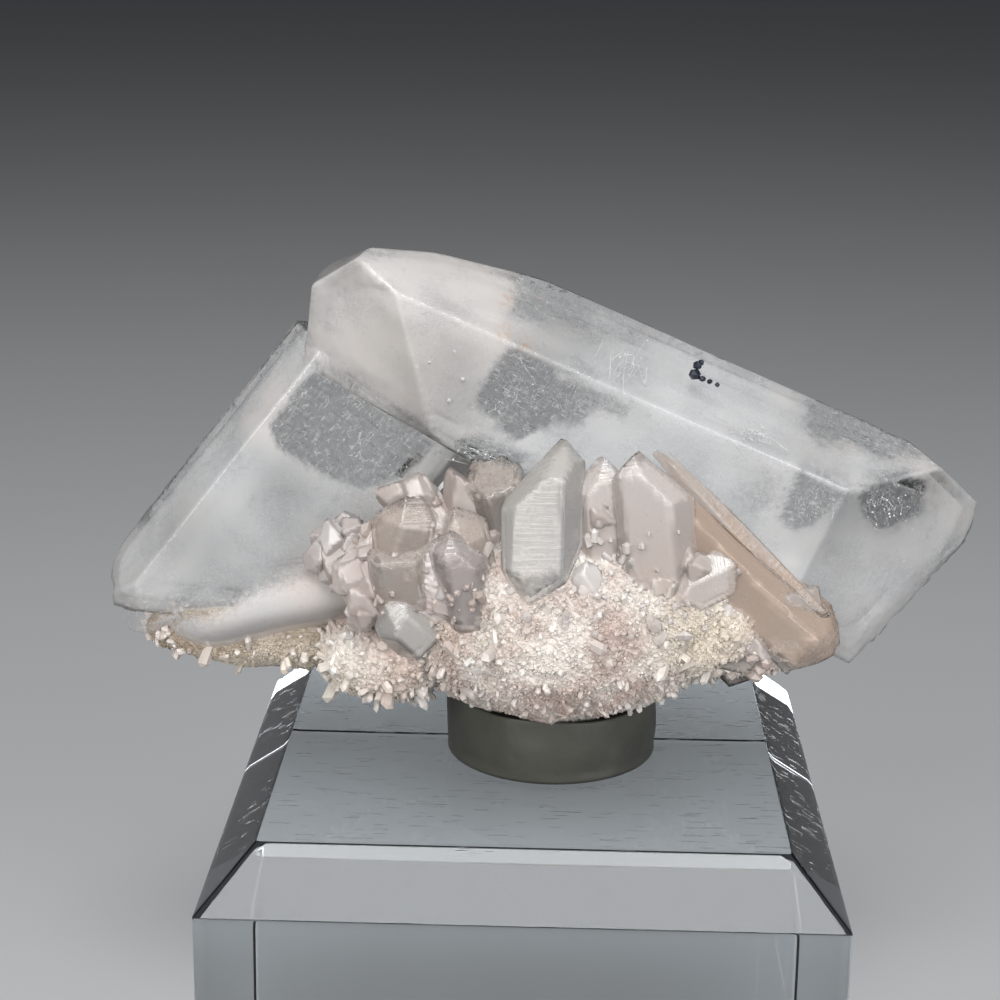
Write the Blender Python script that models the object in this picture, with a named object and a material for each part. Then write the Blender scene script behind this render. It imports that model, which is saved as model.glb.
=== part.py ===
"""Quartz crystal cluster on a clear display block.

Two large intergrown quartz prisms rise from a sugary crust that is overgrown with small
crystals.  Everything that grew together is one solid.  A pad of mineral putty holds it on
a square clear block with a bevelled top.

Frame: +X to the viewer's right, +Y away from the viewer, +Z up.  The origin is the middle
of the block's underside.  Sizes are written in millimetres and turned into metres by MM.
"""

import math

import bmesh
import bpy
from mathutils import Vector, noise

MM = 0.001

# Display block, a two inch square with a 45 degree bevel round its top.
BLOCK_SIDE = 50.8
BLOCK_HEIGHT = 31.0
BLOCK_BEVEL = 4.5

# Putty pad, pressed flat between the block and the underside of the cluster.
PUTTY_CENTRE = (2.0, -0.5)
PUTTY_RADIUS = 9.3
PUTTY_TOP = 38.2
GAP = 0.3

# Quartz geometry: the rhomb faces of a point look 51.8 degrees away from the long axis.
RHOMB_ANGLE = math.radians(51.8)
HEX_SLANT = math.cos(math.radians(30))
MINOR_RHOMB_OFFSET = 0.12
BLANK_REACH = 90.0

# Main crystal: a hexagonal prism that leans down to the right.
MAIN_CENTRE = (10.1, 0.0, 57.0)
MAIN_LEAN = 23.0
MAIN_WIDTH = 20.45
MAIN_DEPTH = 15.2

# Left crystal: a flatter prism that leans down to the left, set a little further back.
LEFT_CENTRE = (-20.7, 2.5, 50.8)
LEFT_LEAN = 127.8
LEFT_WIDTH = 20.0
LEFT_DEPTH = 10.0

# Faces that end the two large crystals: a point on each, and the way it looks.
MAIN_ENDS = {
    "right_rhomb": ((25.4, -7.6, 56.8), (0.569, -0.786, -0.241)),
    "right_break": ((34.9, 1.8, 46.5), (0.67, 0.20, -0.72)),
    "right_top": ((35.6, 0.2, 55.5), (0.60, 0.15, 0.72)),
    "right_edge": ((38.2, 3.0, 51.5), (0.94, 0.33, 0.02)),
    "right_back_rhomb": ((33.0, 7.6, 52.0), (0.60, 0.78, -0.18)),
    "left_rhomb": ((-9.4, -7.6, 66.2), (-0.53, -0.837, -0.133)),
    "left_side": ((-18.5, -3.0, 69.0), (-0.99, 0.0, 0.13)),
    "left_shoulder": ((-16.5, -2.0, 73.0), (-0.57, 0.0, 0.82)),
    "crown": ((-11.0, -1.5, 74.4), (0.0, 0.30, 0.954)),
    "crown_step": ((-6.2, -1.5, 74.0), (0.19, 0.28, 0.94)),
    "left_under": ((-14.8, -5.0, 63.3), (-0.47, -0.20, -0.86)),
    "left_lower_rim": ((-6.0, -7.6, 59.0), (-0.50, -0.60, -0.62)),
    "left_back_rhomb": ((-14.0, 6.0, 68.0), (-0.55, 0.80, 0.10)),
}
LEFT_ENDS = {
    "tip": ((-36.1, -1.0, 46.0), (-0.99, -0.10, -0.12)),
    "tip_shoulder": ((-35.2, 1.5, 49.2), (-0.93, 0.05, 0.36)),
    "foot": ((-30.0, 0.0, 42.6), (-0.10, -0.15, -0.98)),
    "tip_front": ((-33.6, -2.5, 47.0), (-0.55, -0.83, -0.05)),
    "tip_back": ((-31.0, 7.5, 47.0), (-0.60, 0.78, -0.20)),
    "head": ((-19.0, 0.0, 67.3), (0.50, 0.0, 0.86)),
}

# Small crystals: root, tip, width, depth and turn about the long axis, in mm and degrees.
SMALL_CRYSTALS = {
    "shield": ((2.0, -9.0, 59.6), (-0.2, -13.2, 47.4), 7.2, 4.6, 0),
    "banded": ((4.9, -7.6, 48.0), (4.9, -9.4, 61.2), 4.6, 4.4, 8),
    "leaf": ((10.4, -9.0, 49.0), (8.7, -10.0, 61.4), 6.4, 4.6, -6),
    "wedge": ((8.6, -6.2, 55.2), (26.0, -7.6, 41.4), 9.0, 5.6, 12),
    "right_point": ((11.5, -7.5, 47.6), (16.6, -12.4, 51.9), 5.2, 4.6, 15),
    "lower_right": ((18.6, -3.5, 44.6), (16.4, -8.6, 39.4), 5.0, 4.4, 0),
    "lilac": ((-5.3, -8.5, 45.0), (-4.7, -12.2, 56.4), 5.4, 4.6, 5),
    "peak_left": ((-10.9, -7.5, 47.5), (-10.0, -10.2, 57.6), 4.8, 4.4, 25),
    "peak_right": ((-6.0, -7.5, 47.5), (-6.0, -10.6, 57.0), 4.6, 4.4, -20),
    "box": ((-11.0, -6.5, 43.5), (-11.3, -11.6, 52.6), 5.2, 4.6, 10),
    "pale": ((-8.0, -7.0, 42.6), (-12.4, -12.4, 48.4), 5.6, 5.0, 0),
    "foot_long": ((-8.0, -3.5, 46.6), (-31.6, -5.4, 42.8), 7.8, 8.0, 8),
    "shelf": ((-13.5, -5.5, 46.5), (-16.8, -9.6, 53.6), 5.6, 4.6, 30),
    "step": ((-13.0, -6.0, 48.0), (-13.4, -10.4, 55.0), 4.4, 4.0, -12),
    "clear_back": ((-1.0, -3.0, 49.0), (-3.4, -8.8, 57.6), 6.0, 5.0, 10),
    "front_low": ((3.0, -8.0, 43.0), (2.2, -13.6, 50.0), 4.6, 4.2, 35),
    "front_right": ((8.6, -8.0, 44.0), (9.6, -13.6, 51.4), 4.8, 4.4, -15),
    "right_filler": ((13.0, -6.0, 44.0), (18.6, -10.8, 46.0), 5.4, 5.0, 0),
    "rear_tall": ((-6.0, 3.0, 46.0), (-13.0, 13.6, 54.6), 8.0, 6.6, 0),
    "rear_mid": ((5.0, 3.0, 45.0), (9.0, 15.6, 50.4), 7.0, 6.0, 20),
    "rear_right": ((14.0, 2.0, 45.0), (24.6, 11.4, 43.6), 6.6, 5.6, 10),
    "rear_left": ((-16.0, 2.0, 44.0), (-27.0, 11.2, 43.6), 6.4, 5.4, 0),
    "rear_low": ((-1.0, 5.0, 43.0), (-3.0, 14.4, 43.8), 5.4, 4.8, 15),
}

# Blunt crystals, broken or grown against something at the far end.
BLUNT_CRYSTALS = {
    "foot_block": ((-20.0, -1.5, 44.0), (-34.9, -1.5, 43.0), 7.6, 7.0, 0),
}

# Lumps of the sugary crust: middle, half sizes, and how rough each one is, in mm.
CRUST_LUMPS = {
    "arm": ((-21.5, -0.5, 42.6), (11.5, 6.4, 3.9), 0.5),
    "heel": ((-12.0, -4.6, 41.0), (5.6, 5.4, 4.0), 0.5),
    "core": ((2.4, -3.2, 44.6), (13.6, 10.6, 9.2), 0.7),
    "right": ((14.2, -2.0, 44.6), (8.4, 8.6, 5.8), 0.5),
    "rear": ((-2.0, 4.6, 46.0), (17.0, 7.6, 7.4), 0.6),
    "heart": ((0.0, -0.5, 50.5), (17.0, 7.4, 7.0), 0.4),
    "bulb": ((22.0, -7.2, 44.3), (3.5, 3.3, 4.6), 0.25),
}
CRUST_DETAIL = 3
CRUST_LUMP_SPACING = 3.4


def material(name, colour, roughness, transmission=0.0, ior=1.45):
    """A Principled finish with one colour."""
    made = bpy.data.materials.new(name)
    made.use_nodes = True
    shader = made.node_tree.nodes["Principled BSDF"]
    shader.inputs["Base Color"].default_value = (*colour, 1.0)
    shader.inputs["Roughness"].default_value = roughness
    shader.inputs["Metallic"].default_value = 0.0
    shader.inputs["Transmission Weight"].default_value = transmission
    shader.inputs["IOR"].default_value = ior
    return made


def new_object(name, bm, finish=None, helper=False):
    """Puts a bmesh, built in millimetres, into the scene in metres."""
    bmesh.ops.scale(bm, vec=(MM, MM, MM), verts=bm.verts)
    bmesh.ops.recalc_face_normals(bm, faces=bm.faces)
    mesh = bpy.data.meshes.new(name)
    bm.to_mesh(mesh)
    bm.free()
    made = bpy.data.objects.new(name, mesh)
    bpy.context.scene.collection.objects.link(made)
    if finish:
        mesh.materials.append(finish)
    if helper:
        made.hide_render = True
        made.display_type = "WIRE"
    return made


def hexagonal_faces(centre, axis, width, depth, turn=0.0):
    """The six prism faces round an axis: width is corner to corner, depth face to face."""
    axis = Vector(axis).normalized()
    front = Vector((0, -1, 0))
    front = (front - front.dot(axis) * axis).normalized()
    side = axis.cross(front)
    slant = width / 2 * HEX_SLANT
    reach = {0: depth / 2, 60: slant, 120: slant, 180: depth / 2, 240: slant, 300: slant}
    faces = []
    for angle, distance in reach.items():
        turned = math.radians(angle + turn)
        normal = front * math.cos(turned) + side * math.sin(turned)
        faces.append((Vector(centre) + normal * distance, normal))
    return faces


def rhomb_faces(tip, axis, turn=0.0):
    """The six faces of a quartz point: three large ones meet at the tip, three sit lower."""
    axis = Vector(axis).normalized()
    front = Vector((0, -1, 0))
    front = (front - front.dot(axis) * axis).normalized()
    side = axis.cross(front)
    faces = []
    for index in range(6):
        turned = math.radians(60 * index + turn)
        across = front * math.cos(turned) + side * math.sin(turned)
        normal = axis * math.cos(RHOMB_ANGLE) + across * math.sin(RHOMB_ANGLE)
        back = MINOR_RHOMB_OFFSET * (index % 2)
        faces.append((Vector(tip) + normal * back, normal))
    return faces


def solid_within(faces):
    """The solid that lies behind every face, cut plane by plane from a large cube."""
    bm = bmesh.new()
    bmesh.ops.create_cube(bm, size=2 * BLANK_REACH)
    for point, normal in faces:
        cut = bmesh.ops.bisect_plane(
            bm,
            geom=bm.verts[:] + bm.edges[:] + bm.faces[:],
            plane_co=point,
            plane_no=normal,
            clear_outer=True,
        )
        rim = [item for item in cut["geom_cut"] if isinstance(item, bmesh.types.BMEdge)]
        if len(rim) > 2:
            bmesh.ops.edgeloop_fill(bm, edges=rim)
    return bm


def leaning_axis(degrees):
    """The way along a crystal whose tip leans this far below the +X direction."""
    lean = math.radians(degrees)
    return Vector((math.cos(lean), 0, -math.sin(lean)))


def large_crystal(name, centre, lean, width, depth, ends):
    """A large prism, ended by its own list of faces."""
    faces = hexagonal_faces(centre, leaning_axis(lean), width, depth)
    faces += [(Vector(point), Vector(look).normalized()) for point, look in ends.values()]
    return new_object(name, solid_within(faces), helper=True)


def small_crystal(name, root, tip, width, depth, turn, blunt=False):
    """A small prism with a pointed or blunt tip; its flat root is buried in the crust."""
    root, tip = Vector(root), Vector(tip)
    axis = (tip - root).normalized()
    faces = hexagonal_faces(root, axis, width, depth, turn)
    faces += [(tip, axis)] if blunt else rhomb_faces(tip, axis, turn)
    faces.append((root, -axis))
    return new_object(name, solid_within(faces), helper=True)


def crust_lump(name, centre, half, rough, grow=0.0, helper=True):
    """An ellipsoid whose surface swells and sinks with a smooth three-dimensional noise."""
    bm = bmesh.new()
    bmesh.ops.create_icosphere(bm, subdivisions=CRUST_DETAIL, radius=1.0)
    for vert in bm.verts:
        outward = vert.co.copy()
        place = Vector(centre) + Vector([outward[i] * half[i] for i in range(3)])
        swell = rough * noise.noise(place / CRUST_LUMP_SPACING) + grow
        vert.co = place + outward * swell
    return new_object(name, bm, helper=helper)


def quartz_cluster(finish):
    """All that grew together, as one solid: the crust with every crystal joined to it."""
    helpers = bpy.data.collections.new("grown_together")
    bpy.context.scene.collection.children.link(helpers)
    pieces = [
        large_crystal("main_crystal", MAIN_CENTRE, MAIN_LEAN, MAIN_WIDTH, MAIN_DEPTH, MAIN_ENDS),
        large_crystal("left_crystal", LEFT_CENTRE, LEFT_LEAN, LEFT_WIDTH, LEFT_DEPTH, LEFT_ENDS),
    ]
    pieces += [small_crystal(name, *spec) for name, spec in SMALL_CRYSTALS.items()]
    pieces += [small_crystal(name, *spec, blunt=True) for name, spec in BLUNT_CRYSTALS.items()]
    pieces += [
        crust_lump(f"crust_{name}", *spec) for name, spec in CRUST_LUMPS.items() if name != "core"
    ]
    for piece in pieces:
        bpy.context.scene.collection.objects.unlink(piece)
        helpers.objects.link(piece)
    cluster = crust_lump("quartz_cluster", *CRUST_LUMPS["core"], helper=False)
    cluster.data.materials.append(finish)
    join = cluster.modifiers.new("grow_together", "BOOLEAN")
    join.operation = "UNION"
    join.solver = "EXACT"
    join.operand_type = "COLLECTION"
    join.collection = helpers
    return cluster


def putty_pad(finish):
    """A squashed disc with bulging sides, hollowed on top by the crust that it holds."""
    rings = 5
    around = 40
    bottom = BLOCK_HEIGHT + GAP
    bm = bmesh.new()
    profile = []
    for step in range(rings + 1):
        share = step / rings
        bulge = math.sin(math.pi * share)
        radius = PUTTY_RADIUS * (0.965 + 0.045 * bulge - 0.05 * share)
        profile.append((radius, bottom + share * (PUTTY_TOP - bottom)))
    loops = []
    for radius, height in profile:
        loop = []
        for index in range(around):
            angle = 2 * math.pi * index / around
            x = PUTTY_CENTRE[0] + radius * math.cos(angle)
            y = PUTTY_CENTRE[1] + radius * math.sin(angle)
            loop.append(bm.verts.new((x, y, height)))
        loops.append(loop)
    for lower, upper in zip(loops, loops[1:]):
        for index in range(around):
            ahead = (index + 1) % around
            bm.faces.new((lower[index], lower[ahead], upper[ahead], upper[index]))
    bm.faces.new(loops[0])
    bm.faces.new(loops[-1])
    pad = new_object("mineral_putty", bm, finish)
    for name in ("core", "right", "heel", "rear"):
        centre, half, rough = CRUST_LUMPS[name]
        press = crust_lump(f"press_{name}", centre, half, rough, grow=GAP)
        cut = pad.modifiers.new(f"press_{name}", "BOOLEAN")
        cut.operation = "DIFFERENCE"
        cut.solver = "EXACT"
        cut.object = press
    return pad


def display_block(finish):
    """A square block, its top edges cut back at 45 degrees."""
    half = BLOCK_SIDE / 2
    top = half - BLOCK_BEVEL
    shoulder = BLOCK_HEIGHT - BLOCK_BEVEL
    levels = [(half, 0.0), (half, shoulder), (top, BLOCK_HEIGHT)]
    corners = [(-1, -1), (1, -1), (1, 1), (-1, 1)]
    bm = bmesh.new()
    loops = [[bm.verts.new((x * r, y * r, z)) for x, y in corners] for r, z in levels]
    for lower, upper in zip(loops, loops[1:]):
        for index in range(4):
            ahead = (index + 1) % 4
            bm.faces.new((lower[index], lower[ahead], upper[ahead], upper[index]))
    bm.faces.new(loops[0])
    bm.faces.new(loops[-1])
    return new_object("display_block", bm, finish)


def main():
    for old in list(bpy.data.objects):
        bpy.data.objects.remove(old)
    quartz = material("milky_quartz", (0.72, 0.70, 0.69), 0.15, transmission=0.5, ior=1.544)
    putty = material("grey_putty", (0.06, 0.06, 0.05), 0.6)
    acrylic = material("clear_acrylic", (0.95, 0.97, 0.98), 0.03, transmission=1.0, ior=1.49)
    quartz_cluster(quartz)
    putty_pad(putty)
    display_block(acrylic)


main()
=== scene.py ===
# %% [markdown]
# # A quartz cluster on a clear block
#
# Two large quartz crystals lean out of a sugary crust of small ones. A pad of putty holds the
# crust on a clear block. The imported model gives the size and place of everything, so it is
# loaded first and its box is measured before anything is added.

import math

import bpy
import mathutils
import numpy as np
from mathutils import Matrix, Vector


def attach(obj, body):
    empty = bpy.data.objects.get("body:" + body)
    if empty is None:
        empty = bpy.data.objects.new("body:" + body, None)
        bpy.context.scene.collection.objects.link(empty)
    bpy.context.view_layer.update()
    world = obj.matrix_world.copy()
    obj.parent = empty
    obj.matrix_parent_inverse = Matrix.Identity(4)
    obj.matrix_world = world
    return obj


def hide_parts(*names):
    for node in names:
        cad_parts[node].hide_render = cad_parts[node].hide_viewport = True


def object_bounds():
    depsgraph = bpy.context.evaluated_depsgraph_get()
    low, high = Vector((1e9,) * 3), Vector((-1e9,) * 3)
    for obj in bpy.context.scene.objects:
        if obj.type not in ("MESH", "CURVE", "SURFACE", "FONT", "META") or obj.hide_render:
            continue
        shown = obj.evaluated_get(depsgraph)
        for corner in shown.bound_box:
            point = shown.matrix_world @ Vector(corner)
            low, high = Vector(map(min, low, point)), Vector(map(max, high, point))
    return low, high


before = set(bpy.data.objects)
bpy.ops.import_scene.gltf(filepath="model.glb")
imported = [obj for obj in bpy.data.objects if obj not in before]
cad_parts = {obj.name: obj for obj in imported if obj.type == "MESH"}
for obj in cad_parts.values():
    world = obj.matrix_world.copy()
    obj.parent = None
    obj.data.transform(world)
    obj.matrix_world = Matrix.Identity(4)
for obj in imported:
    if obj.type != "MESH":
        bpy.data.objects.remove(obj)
cad_box = [list(corner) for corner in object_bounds()]
print("CAD box in metres:", cad_box)

# %% [markdown]
# ## Working units and noise
#
# All shapes are worked out in millimetres, with +X to the right, +Y away and +Z up, and turned
# into metres when a mesh is made. Natural surfaces are never quite flat or smooth. They could be
# sculpted by hand, but a smooth noise does it evenly and the same way each time: random values
# sit on a cubic lattice and are blended in between.

# %% Units, noise and a few array helpers
MM = 0.001
CAD_LIMITS = np.array(cad_box) / MM
LATTICE = np.random.default_rng(11).uniform(-1, 1, (32, 32, 32))


def unit(vector):
    """The vector divided by its own length."""
    vector = np.asarray(vector, float)
    return vector / np.linalg.norm(vector, axis=-1, keepdims=True)


def smoothstep(low, high, value):
    """0 below low, 1 above high, and a smooth S curve in between."""
    share = np.clip((value - low) / (high - low), 0, 1)
    return share * share * (3 - 2 * share)


def soft_noise(points, size, seed=0.0):
    """Noise from -1 to 1: eight lattice values round each point, weighted by how near they are."""
    place = np.asarray(points, float) / size + seed * 5.37 + 100.0
    cell = np.floor(place).astype(int)
    part = place - cell
    part = part * part * (3 - 2 * part)
    total = 0.0
    for corner in range(8):
        step = np.array([corner & 1, corner >> 1 & 1, corner >> 2 & 1])
        weight = np.prod(np.where(step, part, 1 - part), axis=-1)
        index = (cell + step) % 32
        total = total + weight * LATTICE[index[..., 0], index[..., 1], index[..., 2]]
    return total


def rough_noise(points, size, octaves=4, seed=0.0):
    """Soft noise summed over octaves, each half the size and half the height of the last."""
    return sum(
        soft_noise(points, size / 2**k, seed + k) / 2**k for k in range(octaves)
    )


print("lattice noise ready,", LATTICE.size, "values")

# %% [markdown]
# ## From arrays to a piece
#
# A piece is a mesh that rides on the model's one body, stands for one of its solids, and takes
# its finish from a slot. Every shape here ends as an array of points and an array of faces, so
# one helper makes them all. The shape may carry values on its points, such as how milky the
# quartz is there, for its material to read.

# %% Make a mesh from arrays
def add_piece(name, points, faces, material, values=None, smooth=True, looks=None,
              node="quartz_cluster"):
    """Points in mm, and a list of face arrays of 3 or 4 indices. Unused points are left out.

    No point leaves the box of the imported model. Values are carried on the points, and looks are
    the directions that the points shade by.
    """
    sizes = np.concatenate([np.full(len(g), g.shape[1]) for g in faces])
    used, corners = np.unique(np.concatenate([g.ravel() for g in faces]), return_inverse=True)
    points = np.clip(np.asarray(points, float)[used], *CAD_LIMITS)
    mesh = bpy.data.meshes.new(name)
    mesh.vertices.add(len(points))
    mesh.vertices.foreach_set("co", (points * MM).astype("f").ravel())
    mesh.loops.add(len(corners))
    mesh.loops.foreach_set("vertex_index", corners.astype("i"))
    mesh.polygons.add(len(sizes))
    starts = np.concatenate([[0], np.cumsum(sizes)[:-1]])
    mesh.polygons.foreach_set("loop_start", starts.astype("i"))
    mesh.update(calc_edges=True)
    for key, value in (values or {}).items():
        vector = np.ndim(value) == 2
        kind = "FLOAT_VECTOR" if vector else "FLOAT"
        layer = mesh.attributes.new(key, kind, "POINT")
        value = np.asarray(value, "f")[used].ravel()
        layer.data.foreach_set("vector" if vector else "value", value)
    mesh.polygons.foreach_set("use_smooth", np.full(len(sizes), smooth))
    mesh.validate()
    if looks is not None:
        mesh.normals_split_custom_set_from_vertices(looks[used])
    piece = bpy.data.objects.new(name, mesh)
    bpy.context.scene.collection.objects.link(piece)
    mesh.materials.append(material)
    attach(piece, "root")
    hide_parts(node)


def ball_faces(rows, columns):
    """Faces of a grid that wraps round like a globe, with one point at each pole."""
    row = np.arange(rows - 1)[:, None] * columns + 1
    here = np.arange(columns)[None, :]
    ahead = (here + 1) % columns
    quads = np.stack(
        [row + here, row + here + columns, row + ahead + columns, row + ahead], -1
    ).reshape(-1, 4)
    last = rows * columns + 1
    first_ring, last_ring = 1 + here[0], 1 + (rows - 1) * columns + here[0]
    top = np.stack([np.zeros(columns, int), first_ring, 1 + ahead[0]], -1)
    under = np.stack([np.full(columns, last), 1 + (rows - 1) * columns + ahead[0], last_ring], -1)
    return [quads, top, under]


# %% [markdown]
# ## The faces of a quartz crystal
#
# Quartz grows as a six-sided prism. Its point is made of rhomb faces that look 51.8 degrees away
# from the long axis. Real ones are flattened, cut by neighbours or broken. A crystal could be
# modelled by extruding a hexagon and cutting it, but a list of faces, each a direction and a
# distance, says the same thing and lets one function draw every crystal here.

# %% Face lists
FRONT = np.array([0.0, -1.0, 0.0])
RHOMB_ANGLE = math.radians(51.8)
COS_30 = math.cos(math.radians(30))


def axis_frame(axis):
    """The long axis, the direction nearest the front that is square to it, and the third."""
    axis = unit(axis)
    front = unit(FRONT - FRONT @ axis * axis)
    return axis, front, np.cross(axis, front)


def six_ways(axis, turn):
    """Six directions round the axis, the first one nearest the front."""
    _, front, side = axis_frame(axis)
    angle = np.radians(np.arange(0, 360, 60) + turn)
    return np.cos(angle)[:, None] * front + np.sin(angle)[:, None] * side


def prism_faces(centre, axis, width, depth, turn=0.0):
    """Six faces round the axis. Width is corner to corner, depth is from front to back."""
    looks = six_ways(axis, turn)
    slant = width / 2 * COS_30
    reach = np.array([depth / 2, slant, slant] * 2)
    return looks, looks @ np.asarray(centre, float) + reach


def rhomb_faces(tip, axis, turn=0.0, lower=0.12):
    """Six faces of a point: three meet at the tip, and three stand back by the lower amount."""
    looks = unit(axis) * math.cos(RHOMB_ANGLE) + six_ways(axis, turn) * math.sin(RHOMB_ANGLE)
    return looks, looks @ np.asarray(tip, float) + lower * (np.arange(6) % 2)


def own_faces(ends):
    """Faces given one by one, as a point on each and the way it looks."""
    looks = unit([look for _, look in ends.values()])
    points = np.array([point for point, _ in ends.values()], float)
    return looks, (looks * points).sum(-1)


def join_faces(*parts):
    """Several face lists as one."""
    return np.concatenate([p[0] for p in parts]), np.concatenate([p[1] for p in parts])


MAIN = {
    "centre": (10.1, 0.0, 57.0), "lean": 23.0, "width": 20.45, "depth": 15.2,
    "half_length": 30.0,
    "ends": {
        "right_rhomb": ((25.4, -7.6, 56.8), (0.569, -0.786, -0.241)),
        "right_break": ((34.9, 1.8, 46.5), (0.67, 0.20, -0.72)),
        "right_top": ((35.6, 0.2, 55.5), (0.60, 0.15, 0.72)),
        "right_edge": ((38.2, 3.0, 51.5), (0.94, 0.33, 0.02)),
        "right_back_rhomb": ((33.0, 7.6, 52.0), (0.60, 0.78, -0.18)),
        "left_rhomb": ((-9.4, -7.6, 66.2), (-0.53, -0.837, -0.133)),
        "left_side": ((-18.5, -3.0, 69.0), (-0.99, 0.0, 0.13)),
        "left_shoulder": ((-16.5, -2.0, 73.0), (-0.57, 0.0, 0.82)),
        "crown": ((-11.0, -1.5, 74.4), (0.0, 0.30, 0.954)),
        "crown_step": ((-6.2, -1.5, 74.0), (0.19, 0.28, 0.94)),
        "left_under": ((-14.8, -5.0, 63.3), (-0.47, -0.20, -0.86)),
        "left_lower_rim": ((-6.0, -7.6, 59.0), (-0.50, -0.60, -0.62)),
        "left_back_rhomb": ((-14.0, 6.0, 68.0), (-0.55, 0.80, 0.10)),
    },
}
LEFT = {
    "centre": (-20.7, 2.5, 50.8), "lean": 127.8, "width": 20.0, "depth": 10.0,
    "half_length": 18.0,
    "ends": {
        "tip": ((-36.1, -1.0, 46.0), (-0.99, -0.10, -0.12)),
        "tip_shoulder": ((-35.2, 1.5, 49.2), (-0.93, 0.05, 0.36)),
        "foot": ((-30.0, 0.0, 42.6), (-0.10, -0.15, -0.98)),
        "tip_front": ((-33.6, -2.5, 47.0), (-0.55, -0.83, -0.05)),
        "tip_back": ((-31.0, 7.5, 47.0), (-0.60, 0.78, -0.20)),
        "head": ((-19.0, 0.0, 67.3), (0.50, 0.0, 0.86)),
    },
}


def large_faces(crystal):
    """Faces of a large crystal, whose axis lies across the view and leans down to the right."""
    lean = math.radians(crystal["lean"])
    crystal["axis"] = np.array([math.cos(lean), 0, -math.sin(lean)])
    return join_faces(
        prism_faces(crystal["centre"], crystal["axis"], crystal["width"], crystal["depth"]),
        own_faces(crystal["ends"]),
    )


main_faces, left_faces = large_faces(MAIN), large_faces(LEFT)
print("main crystal:", len(main_faces[1]), "faces; left crystal:", len(left_faces[1]), "faces")

# %% [markdown]
# ## Drawing a crystal from its faces
#
# Straight lines leave the middle of the crystal in every direction, and each one stops at the
# first face it meets. A plain minimum would give knife edges that catch no light, so the faces are
# blended over about a tenth of a millimetre, as natural edges are. The lines are spaced evenly
# over the surface and closer together at the corners of the prism.

# %% Directions, and where each one meets the rounded faces
def even_polar(half_length, radius, rows):
    """Angles from the axis whose lines are evenly spaced on a cylinder with flat ends."""
    whole = 2 * (radius + half_length)
    run = np.linspace(0, whole, rows + 2)[1:-1]
    out = np.clip(np.minimum(run, whole - run), 0, radius)
    along = np.clip(half_length - (run - radius), -half_length, half_length)
    return np.arctan2(out, along)


def corner_angles(width, depth, columns, turn=0.0):
    """Angles round a flattened hexagon, evenly spaced on each side but closer at its corners."""
    ridge = (width / 2 * COS_30 - depth / 4) / COS_30
    corners = [(depth / 2, ridge), (0, width / 2), (-depth / 2, ridge)]
    ring = np.array(corners + [(-f, -s) for f, s in corners])
    step = np.linspace(0, 1, columns // 6 + 1)[:-1]
    step = 0.6 * step + 0.4 * (1 - np.cos(np.pi * step)) / 2
    ahead = np.roll(ring, -1, axis=0)
    places = ring[:, None] + (ahead - ring)[:, None] * step[None, :, None]
    places = places.reshape(-1, 2)
    return np.arctan2(places[:, 1], places[:, 0]) + math.radians(turn)


def lines_from_middle(axis, polar, around):
    """Unit directions: cos(polar) along the axis and sin(polar) out to the side, turned round."""
    axis, front, side = axis_frame(axis)
    ring = np.cos(around)[:, None] * front + np.sin(around)[:, None] * side
    grid = np.cos(polar)[:, None, None] * axis + np.sin(polar)[:, None, None] * ring
    return np.concatenate([[axis], grid.reshape(-1, 3), [-axis]])


def meet_faces(middle, lines, faces, sharpness=7.0, inset=0.0):
    """Distance along each line to where the blended faces are zero, and each face's weight.

    The blend is log(sum(exp(k * distance))) / k. Newton steps start at the nearest plain face,
    which is never nearer than the blend, so they close in from one side.
    """
    looks, reach = faces
    toward = lines @ looks.T
    gap = reach - inset - looks @ middle
    plain = np.where(toward > 1e-6, gap / np.maximum(toward, 1e-6), np.inf)
    far = plain.min(-1)
    for _ in range(8):
        level = sharpness * (toward * far[:, None] - gap)
        peak = level.max(-1, keepdims=True)
        share = np.exp(level - peak)
        height = (peak[:, 0] + np.log(share.sum(-1))) / sharpness
        share /= share.sum(-1, keepdims=True)
        slope = np.maximum((share * toward).sum(-1), 0.05)
        far = far - height / slope
    return far, share, slope


print("lines for 12 rows:", even_polar(30, 9, 12).round(2))

# %% [markdown]
# ## Wear, growth and breakage
#
# Natural faces swell and dip by a few hundredths of a millimetre, edges are chipped, and a broken
# end is rough. These could be bump textures, but then the outline would stay straight. Here they
# move the points, and the finest marks are left to the material.

# %% Relief on a crystal
def chips_and_swell(points, share, seed, rough_rows, swell=0.05, chip=0.25, broken=0.5):
    """Height in mm: a slow swell, small bites along edges, and rough noise on broken faces."""
    height = swell * soft_noise(points, 6.0, seed) + swell * 0.4 * soft_noise(points, 2.2, seed + 1)
    edge = 1 - share.max(-1)
    bite = smoothstep(0.28, 0.75, soft_noise(points, 1.3, seed + 2))
    bite = bite * smoothstep(0.0, 0.4, soft_noise(points, 4.5, seed + 5))
    height -= chip * smoothstep(0.02, 0.30, edge) * bite
    if len(rough_rows):
        rough = share[:, rough_rows].sum(-1)
        jag = np.abs(rough_noise(points, 2.6, 4, seed + 3))
        height += rough * broken * (0.35 - jag)
    return height


def crystal_surface(middle, axis, faces, polar, around, seed=0.0, sharpness=7.0, inset=0.0,
                    rough_rows=(), **relief):
    """Points of a closed crystal, with its own coordinates: along, across and depth, in mm."""
    middle = np.asarray(middle, float)
    lines = lines_from_middle(axis, polar, around)
    far, share, slope = meet_faces(middle, lines, faces, sharpness, inset)
    points = middle + lines * far[:, None]
    height = chips_and_swell(points, share, seed, list(rough_rows), **relief)
    points = points + lines * (height / slope)[:, None]
    own = (points - middle) @ np.array(axis_frame(axis)).T
    return points, own, share


def depth_in(points, faces):
    """How far outside the faces each point is: negative inside."""
    return (points @ faces[0].T - faces[1]).max(-1)


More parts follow.
